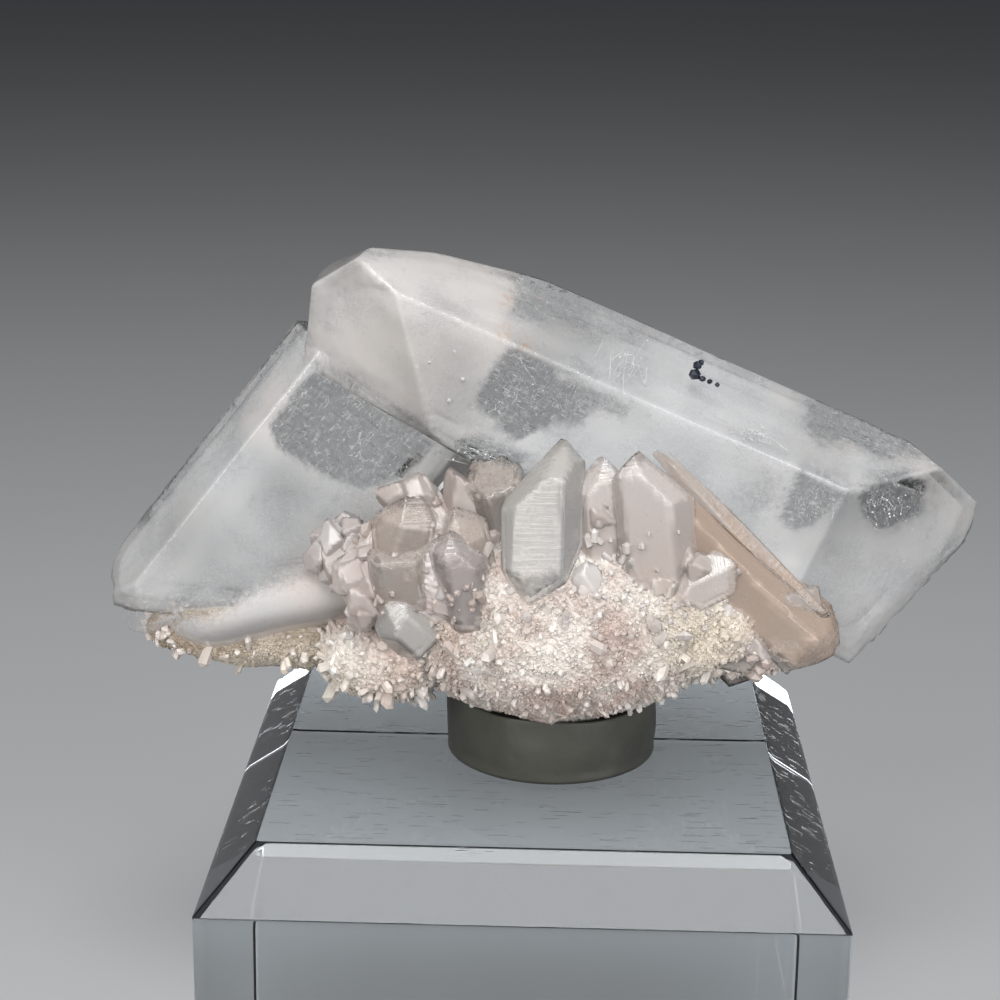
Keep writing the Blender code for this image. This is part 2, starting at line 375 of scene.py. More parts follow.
def open_where(faces, hidden):
    """The faces that have at least one corner in sight."""
    return [group[~hidden[group].all(-1)] for group in faces]


print("relief helpers ready")

# %% [markdown]
# ## Where the quartz is clear, and where it is milky
#
# The milk is millions of tiny trapped bubbles, and it leaves clear windows with sharp sides. A
# scattering volume would be true to that, but it is slow and grainy. Here the milk is a few thin
# skins, one inside the other, that carry a density on their points. A window is a flat outline on
# the front face, carried back into the crystal the way a line of sight bends inside quartz.

# %% Windows: outline in X and Z on the front plane, how clear, and how soft its side is
SIGHT_DROP = 0.19

MAIN_WINDOWS = {
    "needle_window": ([(-2.1, 68.1), (1.6, 66.6), (2.6, 63.8), (1.4, 61.6), (-1.5, 60.4),
                       (-4.8, 63.6)], 1.0, 0.4),
    "needle_side": ([(0.9, 67.0), (4.4, 65.2), (6.6, 63.6), (4.4, 62.0), (1.6, 61.4)], 0.75, 1.2),
    "striped_window": ([(-5.2, 61.0), (-0.5, 59.1), (-2.0, 56.9), (-5.9, 58.4), (-6.7, 59.6)],
                       0.75, 0.5),
    "grey_wedge": ([(4.6, 65.2), (7.8, 63.6), (7.5, 62.1), (5.0, 62.8)], 0.55, 0.7),
    "top_window": ([(-1.2, 73.6), (3.1, 72.4), (4.5, 69.0), (1.6, 69.7), (-1.7, 70.4)], 0.8, 0.7),
    "top_haze": ([(3.1, 72.4), (9.3, 70.0), (9.4, 68.8), (4.5, 67.7), (3.2, 68.9)], 0.5, 0.9),
    "ridge_window": ([(21.6, 58.2), (25.2, 56.4), (24.0, 55.0), (23.1, 53.8), (21.2, 53.2),
                      (20.1, 54.3)], 0.95, 0.4),
    "end_window": ([(26.1, 56.3), (27.0, 57.1), (29.1, 57.5), (31.9, 56.9), (31.8, 54.9),
                    (29.8, 53.6), (27.8, 53.9)], 0.9, 0.6),
    "top_right_window": ([(23.2, 63.0), (25.8, 62.8), (30.1, 60.7), (32.2, 58.9), (29.6, 59.1),
                          (23.9, 59.2), (22.5, 60.3)], 0.7, 0.9),
    "left_haze": ([(16.1, 55.9), (18.4, 59.0), (20.7, 58.2), (20.1, 54.3), (17.4, 54.2)],
                  0.45, 1.0),
}
LEFT_WINDOWS = {
    "dark_window": ([(-17.8, 64.9), (-13.7, 62.6), (-9.9, 60.9), (-8.4, 58.6), (-10.6, 55.6),
                     (-14.6, 54.6), (-17.4, 55.6), (-21.4, 58.3), (-21.8, 59.9), (-20.1, 62.5)],
                    1.0, 0.6),
    "veil_patch": ([(-24.1, 53.8), (-20.6, 54.8), (-19.1, 53.9), (-23.7, 52.9)], 0.4, 0.5),
    "bevel_window": ([(-28.0, 62.0), (-20.0, 71.0), (-18.6, 68.6), (-25.8, 60.0)], 0.85, 0.6),
    "bevel_haze": ([(-35.5, 53.0), (-27.0, 62.6), (-25.2, 60.2), (-33.8, 51.0)], 0.6, 0.8),
}


def outline_depth(x, z, corners):
    """How far outside a convex outline a place is, as the largest distance past any side."""
    corners = np.array(corners, float)
    ahead = np.roll(corners, -1, axis=0) - corners
    out = unit(np.stack([-ahead[:, 1], ahead[:, 0]], -1))
    if ((corners.mean(0) - corners) * out).sum() > 0:
        out = -out
    past = (np.stack([x, z], -1)[:, None, :] - corners) * out
    return past.sum(-1).max(-1)


def clearness(points, windows, front_y, seed=0.0):
    """0 in milk and 1 in a window; noise makes the sides ragged."""
    z = points[:, 2] + SIGHT_DROP * (points[:, 1] - front_y)
    ragged = 0.35 * rough_noise(points, 1.6, 3, seed)
    clear = np.zeros(len(points))
    for corners, amount, soft in windows.values():
        past = outline_depth(points[:, 0], z, corners) - 0.12 * (points[:, 1] - front_y)
        clear = np.maximum(clear, amount * smoothstep(soft * 0.5, -soft, past + ragged * soft * 2))
    return clear


probe = np.array([[0.0, -7.6, 64.0], [10.0, -7.6, 60.0]])
print("clearness in a window and in milk:", clearness(probe, MAIN_WINDOWS, -7.6).round(2))

# %% [markdown]
# ## Node helpers
#
# Every material is built from nodes. These helpers add a node with its values, name the four kinds
# that are used most, make a shared group, and start a material, so each finish below stays short.

# %% Small helpers for node trees
QUARTZ_IOR = 1.544


def add_node(tree, kind, inputs=None, **settings):
    """A node with its settings, and its inputs given as a value or as a socket to link."""
    made = tree.nodes.new("ShaderNode" + kind)
    for key, value in settings.items():
        setattr(made, key, value)
    for key, value in (inputs or {}).items():
        if isinstance(value, bpy.types.NodeSocket):
            tree.links.new(value, made.inputs[key])
        else:
            made.inputs[key].default_value = value
    return made


def noise(tree, vector, scale, detail=2.0, roughness=0.5):
    """The value of a noise texture."""
    return add_node(tree, "TexNoise", {"Vector": vector, "Scale": scale, "Detail": detail,
                                       "Roughness": roughness}).outputs[0]


def ramp(tree, value, low, high, start=0.0, end=1.0):
    """A value carried from the range low..high to the range start..end, and kept inside it."""
    return add_node(tree, "MapRange", {0: value, 1: low, 2: high, 3: start, 4: end}).outputs[0]


def maths(tree, operation, *values, clamp=False):
    """One sum, product or the like of two or three values."""
    return add_node(tree, "Math", dict(enumerate(values)), operation=operation,
                    use_clamp=clamp).outputs[0]


def blend(tree, share, low, high):
    """A colour between two others."""
    return add_node(tree, "Mix", {0: share, 6: low, 7: high}, data_type="RGBA").outputs[2]


def carried(tree, name, output="Fac"):
    """A value that the points of the piece carry."""
    return add_node(tree, "Attribute", attribute_name=name).outputs[output]


def new_group(name, inputs, outputs):
    """An empty node group with named inputs (with their values) and outputs."""
    group = bpy.data.node_groups.new(name, "ShaderNodeTree")
    for key, (kind, value) in inputs.items():
        socket = group.interface.new_socket(key, in_out="INPUT", socket_type="NodeSocket" + kind)
        if value is not None:
            socket.default_value = value
    for key, kind in outputs.items():
        group.interface.new_socket(key, in_out="OUTPUT", socket_type="NodeSocket" + kind)
    ends = group.nodes.new("NodeGroupInput").outputs, group.nodes.new("NodeGroupOutput").inputs
    return group, *ends


def use_group(tree, group, **inputs):
    """A group's node, with its inputs by name and an underscore for each space."""
    inputs = {key.replace("_", " "): value for key, value in inputs.items()}
    return add_node(tree, "Group", inputs, node_tree=group)


def new_finish(name, **values):
    """A material with a Principled shader whose plain values are set by name."""
    material = bpy.data.materials.new(name)
    material.use_nodes = True
    shader = material.node_tree.nodes["Principled BSDF"]
    for key, value in values.items():
        shader.inputs[key.replace("_", " ")].default_value = value
    return material, material.node_tree, shader


def mottled(name, scale, detail, dark, pale, **values):
    """A finish whose colour wanders between two tones, and the place that it depends on."""
    material, tree, shader = new_finish(name, **values)
    spot = add_node(tree, "TexCoord").outputs["Object"]
    tone = blend(tree, noise(tree, spot, scale, detail), dark + (1,), pale + (1,))
    tree.links.new(tone, shader.inputs["Base Color"])
    return material, tree, shader, spot


def lets_lamps_through(tree, shader, share=1.0):
    """A skin that lets a share of the lamps' light through, so it reaches what is sealed inside."""
    path = add_node(tree, "LightPath")
    open_air = add_node(tree, "BsdfTransparent", {0: (share, share, share, 1)})
    mix = add_node(tree, "MixShader", {0: path.outputs["Is Shadow Ray"],
                                       1: shader.outputs["BSDF"], 2: open_air.outputs["BSDF"]})
    tree.links.new(mix.outputs["Shader"], tree.nodes["Material Output"].inputs["Surface"])


print("node helpers ready")

# %% [markdown]
# ## Growth marks
#
# Prism faces of quartz carry fine lines across the long axis, where growth stopped and started.
# There are also pits and hairline scratches; only the lines and pits are drawn here. The lines are
# a noise stretched across the crystal's own coordinates, which each piece carries on its points, so
# they turn with the crystal.

# %% Shared group: growth marks
growth, given, result = new_group(
    "growth marks",
    {"Own": ("Vector", None), "Line Spacing": ("Float", 0.45), "Lines": ("Float", 1.0),
     "Pits": ("Float", 1.0), "Strength": ("Float", 0.3)},
    {"Rough": "Float", "Normal": "Vector"},
)
LINE_STRETCH = 0.16
split = add_node(growth, "SeparateXYZ", {0: given["Own"]}).outputs
across = {axis: maths(growth, "MULTIPLY", split[axis], LINE_STRETCH) for axis in "YZ"}
along = maths(growth, "DIVIDE", split["X"], given["Line Spacing"])
stretch = add_node(growth, "CombineXYZ", {"X": along, **across})
lines = noise(growth, stretch.outputs[0], 1.0, 2.0, 0.6)
pits = noise(growth, given["Own"], 1.1, 4.0, 0.62)
height = maths(growth, "SUBTRACT", maths(growth, "MULTIPLY", lines, given["Lines"]),
               maths(growth, "MULTIPLY", ramp(growth, pits, 0.60, 0.72), given["Pits"]))
relief = add_node(growth, "Bump", {"Height": height, "Distance": 0.0002,
                                   "Strength": given["Strength"]})
growth.links.new(ramp(growth, pits, 0.35, 0.75), result["Rough"])
growth.links.new(relief.outputs[0], result["Normal"])
print("growth marks:", len(growth.nodes), "nodes")

# %% [markdown]
# ## Milk and crackle
#
# A milky skin is dense where its points say so, with frayed sides. Inside a window there is no
# milk, only a net of fine white cracks, flecks and frost. One group gives the alpha of both, and
# a colour between a cool and a warm white, as iron stain and thin bubbles do. The slow clouds are
# worked out on the points, and only what is finer than the mesh is left to the nodes.
# The colour is also scaled by a brightness on the points, partly the milk's own tone and partly
# painted light and shade.

# %% Shared group: milk
milk, given, result = new_group(
    "milk cloud",
    {"Own": ("Vector", None), "Density": ("Float", 1.0), "Warmth": ("Float", 0.5),
     "Cover": ("Float", 0.8), "Crackle": ("Float", 0.5), "Glow": ("Float", 1.0),
     "Stain": ("Float", 0.0), "Cool": ("Color", (0.67, 0.685, 0.695, 1)),
     "Warm": ("Color", (0.74, 0.70, 0.67, 1))},
    {"Color": "Color", "Alpha": "Float"},
)
# How much milk there is, with frayed sides
fine = noise(milk, given["Own"], 2.0, 4.0, 0.68)
edge = maths(milk, "ADD", given["Density"], ramp(milk, fine, 0.3, 0.7, -0.25, 0.25))
cover = maths(milk, "MULTIPLY", ramp(milk, edge, 0.25, 0.9), given["Cover"], clamp=True)
# A net of cracks, bent by a slow noise
bent = noise(milk, given["Own"], 1.4, 1.0)
shift = add_node(milk, "VectorMath", {0: given["Own"], 1: bent}, operation="ADD")
cells = add_node(milk, "TexVoronoi", {"Vector": shift.outputs[0], "Scale": 1.3},
                 feature="DISTANCE_TO_EDGE")
cracks = maths(milk, "MULTIPLY", ramp(milk, cells.outputs[0], 0.0, 0.05, 0.9, 0.0),
               ramp(milk, bent, 0.50, 0.62))
# Frost that is drawn out along the crystal and lies in drifts
drawn_out = add_node(milk, "Mapping", {"Vector": given["Own"], "Rotation": (0, 0, 0.5),
                                       "Scale": (1.1, 3.2, 3.2)})
frost = ramp(milk, noise(milk, drawn_out.outputs[0], 1.0, 3.0, 0.72), 0.55, 0.66)
rime = maths(milk, "MULTIPLY", frost, ramp(milk, bent, 0.40, 0.56, 0.05, 1.0))
# Cracks and frost show in the windows only
shown = maths(milk, "MULTIPLY", ramp(milk, edge, 0.25, 0.75, 1.0, 0.0), given["Crackle"])
crackle = maths(milk, "MULTIPLY", maths(milk, "MAXIMUM", cracks, rime), shown)
alpha = maths(milk, "MAXIMUM", cover, crackle, clamp=True)
# Colour, scaled by a brightness that is partly the milk's own tone and partly painted light and
# shade, and rust in blots
tone = blend(milk, ramp(milk, given["Warmth"], 0.0, 1.0), given["Cool"], given["Warm"])
shade = add_node(milk, "VectorMath", {0: tone, "Scale": given["Glow"]}, operation="SCALE")
rust = maths(milk, "MULTIPLY", given["Stain"], ramp(milk, fine, 0.42, 0.58), clamp=True)
stained = blend(milk, rust, shade.outputs[0], (0.62, 0.33, 0.16, 1))
milk.links.new(stained, result["Color"])
milk.links.new(alpha, result["Alpha"])
print("milk cloud:", len(milk.nodes), "nodes")

# %% [markdown]
# ## Finishes of the large crystals
#
# The outer skin is clear quartz: full transmission, the real IOR of 1.544, and a polish that is
# duller in patches. The milk inside has no surface of its own, so it has no shine. Each skin of
# milk lets most of the lamps' light through, so the deeper ones are lit too.

# %% Clear quartz and milk
def clear_quartz(name, lines=1.0, pits=1.0, strength=0.25, spacing=0.45, dull=0.16):
    """Clear quartz with growth marks. Its roughness runs from a good polish to a dull one."""
    material, tree, shader = new_finish(
        name, Base_Color=(1, 1, 1, 1), IOR=QUARTZ_IOR, Transmission_Weight=1.0)
    marks = use_group(tree, growth, Own=carried(tree, "own", "Vector"), Lines=lines, Pits=pits,
                      Strength=strength, Line_Spacing=spacing)
    polish = ramp(tree, marks.outputs["Rough"], 0.0, 1.0, 0.03, dull)
    tree.links.new(polish, shader.inputs["Roughness"])
    tree.links.new(marks.outputs["Normal"], shader.inputs["Normal"])
    lets_lamps_through(tree, shader)
    return material


def milky_skin(name, cover, crackle, passing=0.88, **tones):
    """Milk without shine, as thick and as warm as its points say, and as bright: a brightness that
    is partly painted light.
    """
    material, tree, shader = new_finish(name, Roughness=0.9, Specular_IOR_Level=0.0)
    cloud = use_group(tree, milk, Own=carried(tree, "own", "Vector"),
                      Density=carried(tree, "milkiness"), Warmth=carried(tree, "warmth"),
                      Glow=carried(tree, "tone_and_painted_light"), Stain=carried(tree, "stain"),
                      Cover=cover, Crackle=crackle, **tones)
    tree.links.new(cloud.outputs["Color"], shader.inputs["Base Color"])
    tree.links.new(cloud.outputs["Alpha"], shader.inputs["Alpha"])
    lets_lamps_through(tree, shader, passing)
    return material


glassy = clear_quartz("clear quartz")
outer_milk = milky_skin("outer milk", 0.45, 0.60)
middle_milk = milky_skin("middle milk", 0.62, 0.30)
inner_milk = milky_skin("inner milk", 1.0, 0.22)
print("finishes:", [m.name for m in bpy.data.materials][-4:])

# %% [markdown]
# ## The two large crystals
#
# Each one is a clear skin with three skins of milk inside it. Where one crystal's skin runs inside
# the other there is no real surface, so those faces are left out and the two read as one stone.

# %% Main and left crystal
def spotted(points, spots, base):
    """A base value plus round soft spots, each with its place in X and Z, radius and amount."""
    value = np.full(len(points), float(base))
    for (x, z), radius, amount in spots:
        away = np.hypot(points[:, 0] - x, points[:, 2] - z)
        value += amount * smoothstep(radius, 0, away)
    return np.clip(value, 0, 1.5)


MAIN_WARMTH = [((-10, 68), 14, 0.55), ((-2, 74), 10, 0.25), ((10, 70), 5, 0.35),
               ((8, 58), 16, -0.35), ((24, 48), 12, -0.2), ((33, 57), 5, 0.45),
               ((26, 43), 5, 0.3)]
# Milk brightness in spots: darker ones are partly its own grey tone, partly painted shade; the
# brighter ends are painted light.
MAIN_TONE_AND_PAINTED_LIGHT = [((-16, 67), 11.0, 0.22), ((28, 47), 10.0, 0.2), ((-7.5, 65.0), 6.0, -0.30),
             ((-5.0, 62.5), 3.5, -0.10), ((2.5, 68.6), 6.0, -0.35), ((8.0, 67.0), 5.0, -0.15),
             ((-17.0, 70.0), 5.0, 0.06), ((-10.5, 61.8), 3.0, 0.12), ((28, 46), 9.0, 0.18),
             ((24, 61), 6.0, -0.20), ((25, 54.5), 5.0, -0.12), ((36, 51), 7.0, 0.25)]
# Darker spots beside the left crystal's windows and on its bevel: partly its own grey tone, partly
# painted shade on the bevel.
LEFT_TONE_AND_PAINTED_LIGHT = [((-20.5, 54.0), 5.0, -0.30), ((-26.5, 60.0), 5.0, -0.2), ((-12, 56), 6.0, 0.1),
             ((-29.0, 49.5), 7.0, -0.24)]
STAINS = [((-2.1, 70.9), 1.1, 0.9), ((0.2, 70.9), 1.2, 0.9), ((1.5, 71.4), 0.9, 0.7),
          ((-2.4, 69.0), 1.2, 0.9), ((-0.7, 68.1), 1.0, 0.9), ((10.0, 68.8), 2.0, 0.35),
          ((-9.5, 63.5), 1.5, 0.2)]
LEFT_WARMTH = [((-24, 50), 14, -0.4), ((-24, 62), 6, 0.3), ((-16, 46), 8, 0.5),
               ((-34, 46), 6, -0.1)]


SKIN_OVERLAP = 0.35
MILK_SKINS = [  # depth under the clear skin, finish, rows, columns
    (0.14, outer_milk, 190, 132), (1.1, middle_milk, 96, 84), (2.6, inner_milk, 96, 84)]


def large_crystal(name, crystal, faces, windows, warm_spots, tone_and_painted_light_spots, rough_ends, other,
                  front_y, seed):
    """A clear skin, and skins of milk that carry how dense, warm, bright and rusty they are; the
    brightness is partly painted light and shade.
    """
    names = list(crystal["ends"])
    rough_rows = [6 + names.index(end) for end in rough_ends]

    def skin(rows, columns, inset, **relief):
        """One skin at a depth, without the faces that lie inside the other crystal."""
        polar = even_polar(crystal["half_length"], crystal["width"] / 2, rows)
        around = corner_angles(crystal["width"], crystal["depth"], columns)
        points, own, share = crystal_surface(crystal["centre"], crystal["axis"], faces, polar,
                                             around, seed, 11.0, inset, rough_rows, **relief)
        hidden = depth_in(points, other) < -SKIN_OVERLAP
        return points, own, share, open_where(ball_faces(rows, columns), hidden)

    rows = int(3.8 * (crystal["half_length"] * 2 + crystal["width"]))
    points, own, share, grid = skin(rows, 180, 0.0, broken=0.6)
    add_piece(name, points, grid, glassy, {"own": own}, looks=unit(share @ faces[0]))
    for number, (inset, finish, rows, columns) in enumerate(MILK_SKINS):
        points, own, share, grid = skin(rows, columns, inset, chip=0.0, broken=0.2)
        clear = clearness(points, windows, front_y, seed + number)
        cloud = rough_noise(own, 3.2, 4, seed + 20 + number)
        streak = rough_noise(own * (0.06, 1, 1), 1.3, 2, seed + 30)
        # Along the outer skin's edges the milk is denser and its colour brighter: a painted
        # highlight on the edges.
        ridge = smoothstep(0.1, 0.45, 1 - share.max(-1)) * (number == 0)
        # Brightness: the painted light and shade of the spots, varied by the milk's own clouds and
        # streaks.
        tone_and_painted_light = spotted(points, tone_and_painted_light_spots, 1.0) * (1 + 0.10 * cloud + 0.08 * streak)
        add_piece(f"{name}_milk_{number + 1}", points, grid, finish, {
            "own": own + 3.7 * number,
            "milkiness": (1 - clear) * np.clip(0.86 + 0.45 * cloud + 0.4 * ridge, 0.35, 1.1),
            "warmth": spotted(points, warm_spots, 0.35) + 0.5 * cloud,
            "tone_and_painted_light": tone_and_painted_light + 0.25 * ridge,
            "stain": spotted(points, STAINS, 0.0) * (number == 0)})


large_crystal("main_crystal", MAIN, main_faces, MAIN_WINDOWS, MAIN_WARMTH, MAIN_TONE_AND_PAINTED_LIGHT,
              ["right_break", "right_edge", "left_lower_rim"], left_faces, -7.6, 1.0)
large_crystal("left_crystal", LEFT, left_faces, LEFT_WINDOWS, LEFT_WARMTH, LEFT_TONE_AND_PAINTED_LIGHT,
              ["foot", "tip"], main_faces, -2.5, 9.0)

# %% [markdown]
# ## Small crystals
#
# The crust is overgrown with small prisms that end in points. They are milkier and warmer than
# the large ones. Each is drawn from its root, its tip and its thickness, so it can be read and
# moved like a pin in a cushion.

# %% Lumps of crust, and small crystals
LUMPS = {  # middle, half-size, how rough
    "arm": ((-21.5, -0.5, 41.4), (11.5, 5.8, 2.8), 0.5),
    "heel": ((-12.0, -4.6, 41.0), (5.6, 5.4, 4.0), 0.5),
    "core": ((2.4, -3.2, 44.6), (13.6, 10.6, 9.2), 0.7),
    "right": ((14.2, -2.0, 44.6), (8.4, 8.6, 5.8), 0.5),
    "rear": ((-2.0, 4.6, 46.0), (17.0, 7.6, 7.4), 0.6),
    "heart": ((0.0, 0.0, 49.0), (16.0, 6.4, 5.0), 0.4),
    "nest": ((-8.2, -7.2, 48.6), (6.4, 4.0, 6.6), 0.5),
    "saddle": ((11.2, -7.0, 46.8), (5.6, 4.6, 4.6), 0.5),
    "hip": ((18.2, -5.6, 43.2), (4.2, 3.6, 3.0), 0.4),
}
SMALL = {  # root, tip, width, depth, turn, look
    "shield": ((0.9, -8.6, 61.0), (0.8, -13.0, 47.0), 7.6, 5.0, 0, "white"),
    "banded": ((5.6, -7.2, 48.0), (4.9, -8.8, 60.4), 5.6, 4.6, 8, "pink"),
    "leaf": ((10.8, -8.0, 48.6), (9.2, -10.2, 61.4), 8.0, 4.8, -4, "pink"),
    "wedge": ((8.6, -6.2, 55.2), (26.0, -7.6, 41.4), 9.0, 5.6, 12, "rose"),
    "blade": ((9.6, -7.2, 59.4), (25.0, -8.4, 46.2), 2.0, 2.2, 20, "rose"),
    "bulb": ((21.0, -6.6, 48.0), (22.3, -8.2, 40.2), 6.6, 5.4, 20, "bulb"),
    "right_point": ((11.0, -7.5, 47.4), (16.8, -12.0, 51.6), 5.6, 4.6, 15, "pink"),
    "lower_right": ((18.6, -3.5, 44.6), (16.4, -8.6, 39.6), 5.0, 4.4, 0, "lilac"),
    "shard_block": ((13.5, -6.0, 42.8), (19.6, -10.0, 43.6), 5.2, 4.8, 0, "lilac"),
    "lilac": ((-5.2, -10.3, 45.8), (-5.8, -11.6, 55.0), 6.2, 4.0, 5, "lilac"),
    "pale": ((-8.6, -9.6, 44.0), (-12.4, -11.6, 48.6), 5.4, 4.2, 10, "white"),
    "peak_left": ((-10.6, -8.4, 47.0), (-9.5, -9.6, 57.4), 6.6, 4.6, 25, "beige"),
    "peak_right": ((-4.6, -8.4, 47.5), (-6.0, -9.8, 57.0), 6.0, 4.6, -20, "beige"),
    "box": ((-10.4, -9.9, 47.2), (-10.7, -11.0, 52.0), 5.8, 3.6, 4, "beige"),
    "foot_long": ((-8.0, -3.2, 48.4), (-33.0, -4.2, 43.4), 9.8, 8.4, 8, "soft"),
    "foot_block": ((-20.0, -1.5, 44.0), (-34.9, -1.5, 43.0), 7.6, 7.0, 0, "soft"),
    "clear_back": ((-1.0, -3.0, 49.0), (-3.4, -8.8, 57.8), 6.0, 5.0, 10, "beige"),
    "rear_tall": ((-6.0, 3.0, 46.0), (-13.0, 13.6, 54.6), 8.0, 6.6, 0, "white"),
    "rear_mid": ((5.0, 3.0, 45.0), (9.0, 15.6, 50.4), 7.0, 6.0, 20, "pink"),
    "rear_right": ((14.0, 2.0, 45.0), (24.6, 11.4, 43.6), 6.6, 5.6, 10, "white"),
    "rear_left": ((-16.0, 2.0, 44.0), (-27.0, 11.2, 43.6), 6.4, 5.4, 0, "beige"),
    "rear_low": ((-1.0, 5.0, 43.0), (-3.0, 14.4, 43.8), 5.4, 4.8, 15, "lilac"),
}
LUMPS = {name: (np.array(middle), np.array(half), rough)
         for name, (middle, half, rough) in LUMPS.items()}
SMALL = {name: (np.array(root), np.array(tip), *rest)
         for name, (root, tip, *rest) in SMALL.items()}
BLUNT = {"foot_block", "box", "clear_back"}
APEX_SHIFT = {"leaf": (-1.9, 0.0, 0.0), "shield": (0.3, 0.0, 0.0), "lilac": (-1.3, 0.0, 0.0),
              "banded": (1.2, 0.0, 0.0), "peak_right": (0.9, 0.0, 0.0)}
TWO_POINTS = {"shield"}
LOOKS = {  # a tip colour and a root colour
    "white": ((0.57, 0.56, 0.545, 1), (0.55, 0.52, 0.49, 1)),
    "pink": ((0.74, 0.69, 0.66, 1), (0.66, 0.56, 0.51, 1)),
    "rose": ((0.54, 0.43, 0.36, 1), (0.48, 0.36, 0.28, 1)),
    "beige": ((0.50, 0.45, 0.41, 1), (0.44, 0.36, 0.31, 1)),
    "lilac": ((0.48, 0.44, 0.42, 1), (0.42, 0.37, 0.355, 1)),
    "bulb": ((0.60, 0.57, 0.56, 1), (0.60, 0.52, 0.47, 1)),
    "soft": ((0.60, 0.60, 0.60, 1), (0.60, 0.54, 0.51, 1)),
}


small_glass = clear_quartz("clear small quartz", 1.3, 0.4, 0.35, 0.3, 0.3)
small_looks = {
    look: [milky_skin(f"{look} veil", cover, 0.3, 0.97, Cool=cool, Warm=warm)
           for cover in (0.62, 1.0)]
    for look, (cool, warm) in LOOKS.items()
}

small_faces = {}
rng = np.random.default_rng(3)
for name, (root, tip, width, depth, turn, look) in SMALL.items():
    axis, middle = unit(tip - root), (root + tip) / 2
    apex = tip + APEX_SHIFT.get(name, (0, 0, 0))
    top = (axis[None], np.array([axis @ tip])) if name in BLUNT else rhomb_faces(apex, axis, turn)
    side_looks, side_reach = prism_faces(root, axis, width, depth, turn)
    out = side_reach - side_looks @ middle - rng.uniform(0, 0.13, 6) * width * (np.arange(6) > 0)
    side_looks = unit(side_looks + rng.normal(0, 0.06, (6, 3)))
    side_reach = side_looks @ middle + out
    if name not in BLUNT:
        top[1][rng.permutation(6)[:2]] -= rng.uniform(0.05, 0.24, 2) * width
    under = (-axis[None], np.array([-axis @ root]))
    if name in TWO_POINTS:
        under = rhomb_faces(root + (1.6, 0, 0), -axis, turn + 60)
    small_faces[name] = join_faces((side_looks, side_reach), top, under)


def in_lumps(points, fill=0.7, but=None):
    """True where a point is well inside a lump of crust, other than the one named."""
    deep = np.zeros(len(points), bool)
    for name, (middle, half, _) in LUMPS.items():
        if name != but:
            deep |= (((points - middle) / half) ** 2).sum(-1) < fill
    return deep


def in_large(points, deeper):
    """True where a point is deeper than that in one of the large crystals."""
    return np.minimum(depth_in(points, main_faces), depth_in(points, left_faces)) < -deeper


def in_crystals(points, deeper, but=None):
    """True where a point is deeper than that in any crystal, other than the one named."""
    deep = in_large(points, deeper)
    for name, faces in small_faces.items():
        if name != but:
            deep |= depth_in(points, faces) < -deeper
    return deep


SOFT_EDGE = (unit(np.array([[-0.45, 0.0, 1.0]])), np.array([52.0]))
SMALL_SKINS = [(0.0, 44, 60), (0.12, 40, 48), (0.55, 24, 36)]  # depth, rows, columns


def small_crystal(name, number):
    """A clear skin, and two skins of milk that thicken from the tip to the root."""
    root, tip, width, depth, turn, look = SMALL[name]
    faces, soft = small_faces[name], look == "soft"
    axis, length, middle = unit(tip - root), np.linalg.norm(tip - root), (root + tip) / 2
    edges, swell = (1.6, 0.35) if soft else (40.0, 0.05)
    for layer, (inset, rows, columns) in enumerate(SMALL_SKINS):
        if soft and layer == 0:
            continue
        polar = even_polar(length / 2, width / 2, rows)
        around = corner_angles(width, depth, columns, turn)
        points, own, weight = crystal_surface(
            middle, axis, faces, polar, around, 20.0 + number, edges, inset, swell=swell,
            chip=0.25 * (layer == 0))
        hidden = in_crystals(points, 0.15, but=name) | in_lumps(points, 0.85)
        grid = open_where(ball_faces(rows, columns), hidden)
        if sum(map(len, grid)) == 0:
            print(f"{name}: layer {layer} is all hidden")
            continue
        looks = unit(weight @ faces[0])
        if layer == 0:
            add_piece(name, points, grid, small_glass, {"own": own + number}, looks=looks)
            continue
        along = np.clip(own[:, 0] / length + 0.5, 0, 1)
        ragged = 0.3 * soft_noise(points, 2.0, number)
        # Edges of the milk are brighter in colour: a painted highlight.
        painted_rim_highlight = smoothstep(0.1, 0.45, 1 - weight.max(-1)) * (not soft)
        veil = 1 - 0.35 * smoothstep(0.5, 1.0, along + ragged)
        if soft:
            veil = smoothstep(1.5, -1.5, depth_in(points, SOFT_EDGE) + 2 * ragged)
        add_piece(f"{name}_milk_{layer}", points, grid, small_looks[look][layer - 1], {
            "own": own + number, "warmth": np.clip(1.1 - along + 1.5 * ragged, 0, 1),
            "milkiness": veil, "tone_and_painted_light": 1 + 0.3 * painted_rim_highlight + 0.25 * ragged, "stain": 0 * along},
            looks=looks)


for number, name in enumerate(SMALL):
    small_crystal(name, number)
print("small crystals:", len(SMALL))

# %% [markdown]
# ## The sugary crust
#
# Under the crystals is a crust of grains a few tenths of a millimetre across. First come the lumps
# that give its shape, as ellipsoids with noise. Then thousands of tiny double-ended crystals are
# strewn over them. They could be instances, but the model that is handed on keeps only meshes, so
# one array of corners is turned, scaled and moved for all grains at once.

# %% Lumps of the crust
def globe_lines(rows, columns):
    """Directions from the middle of a globe to the points of its grid."""
    polar = np.linspace(0, np.pi, rows + 2)[1:-1]
    around = np.linspace(0, 2 * np.pi, columns + 1)[:-1]
    return lines_from_middle((0, 0, 1), polar, around)


def on_lump(name, lines):
    """Where lines from a lump's middle end: an ellipsoid, swollen and finely pitted by noise."""
    middle, half, rough = LUMPS[name]
    seed = 40.0 + list(LUMPS).index(name)
    place = middle + lines * half
    grain = rough * 0.5 * rough_noise(place, 3.2, 3, seed) - 0.12 * np.abs(
        rough_noise(place, 0.9, 2, seed + 4))
    return place + lines * grain[:, None]


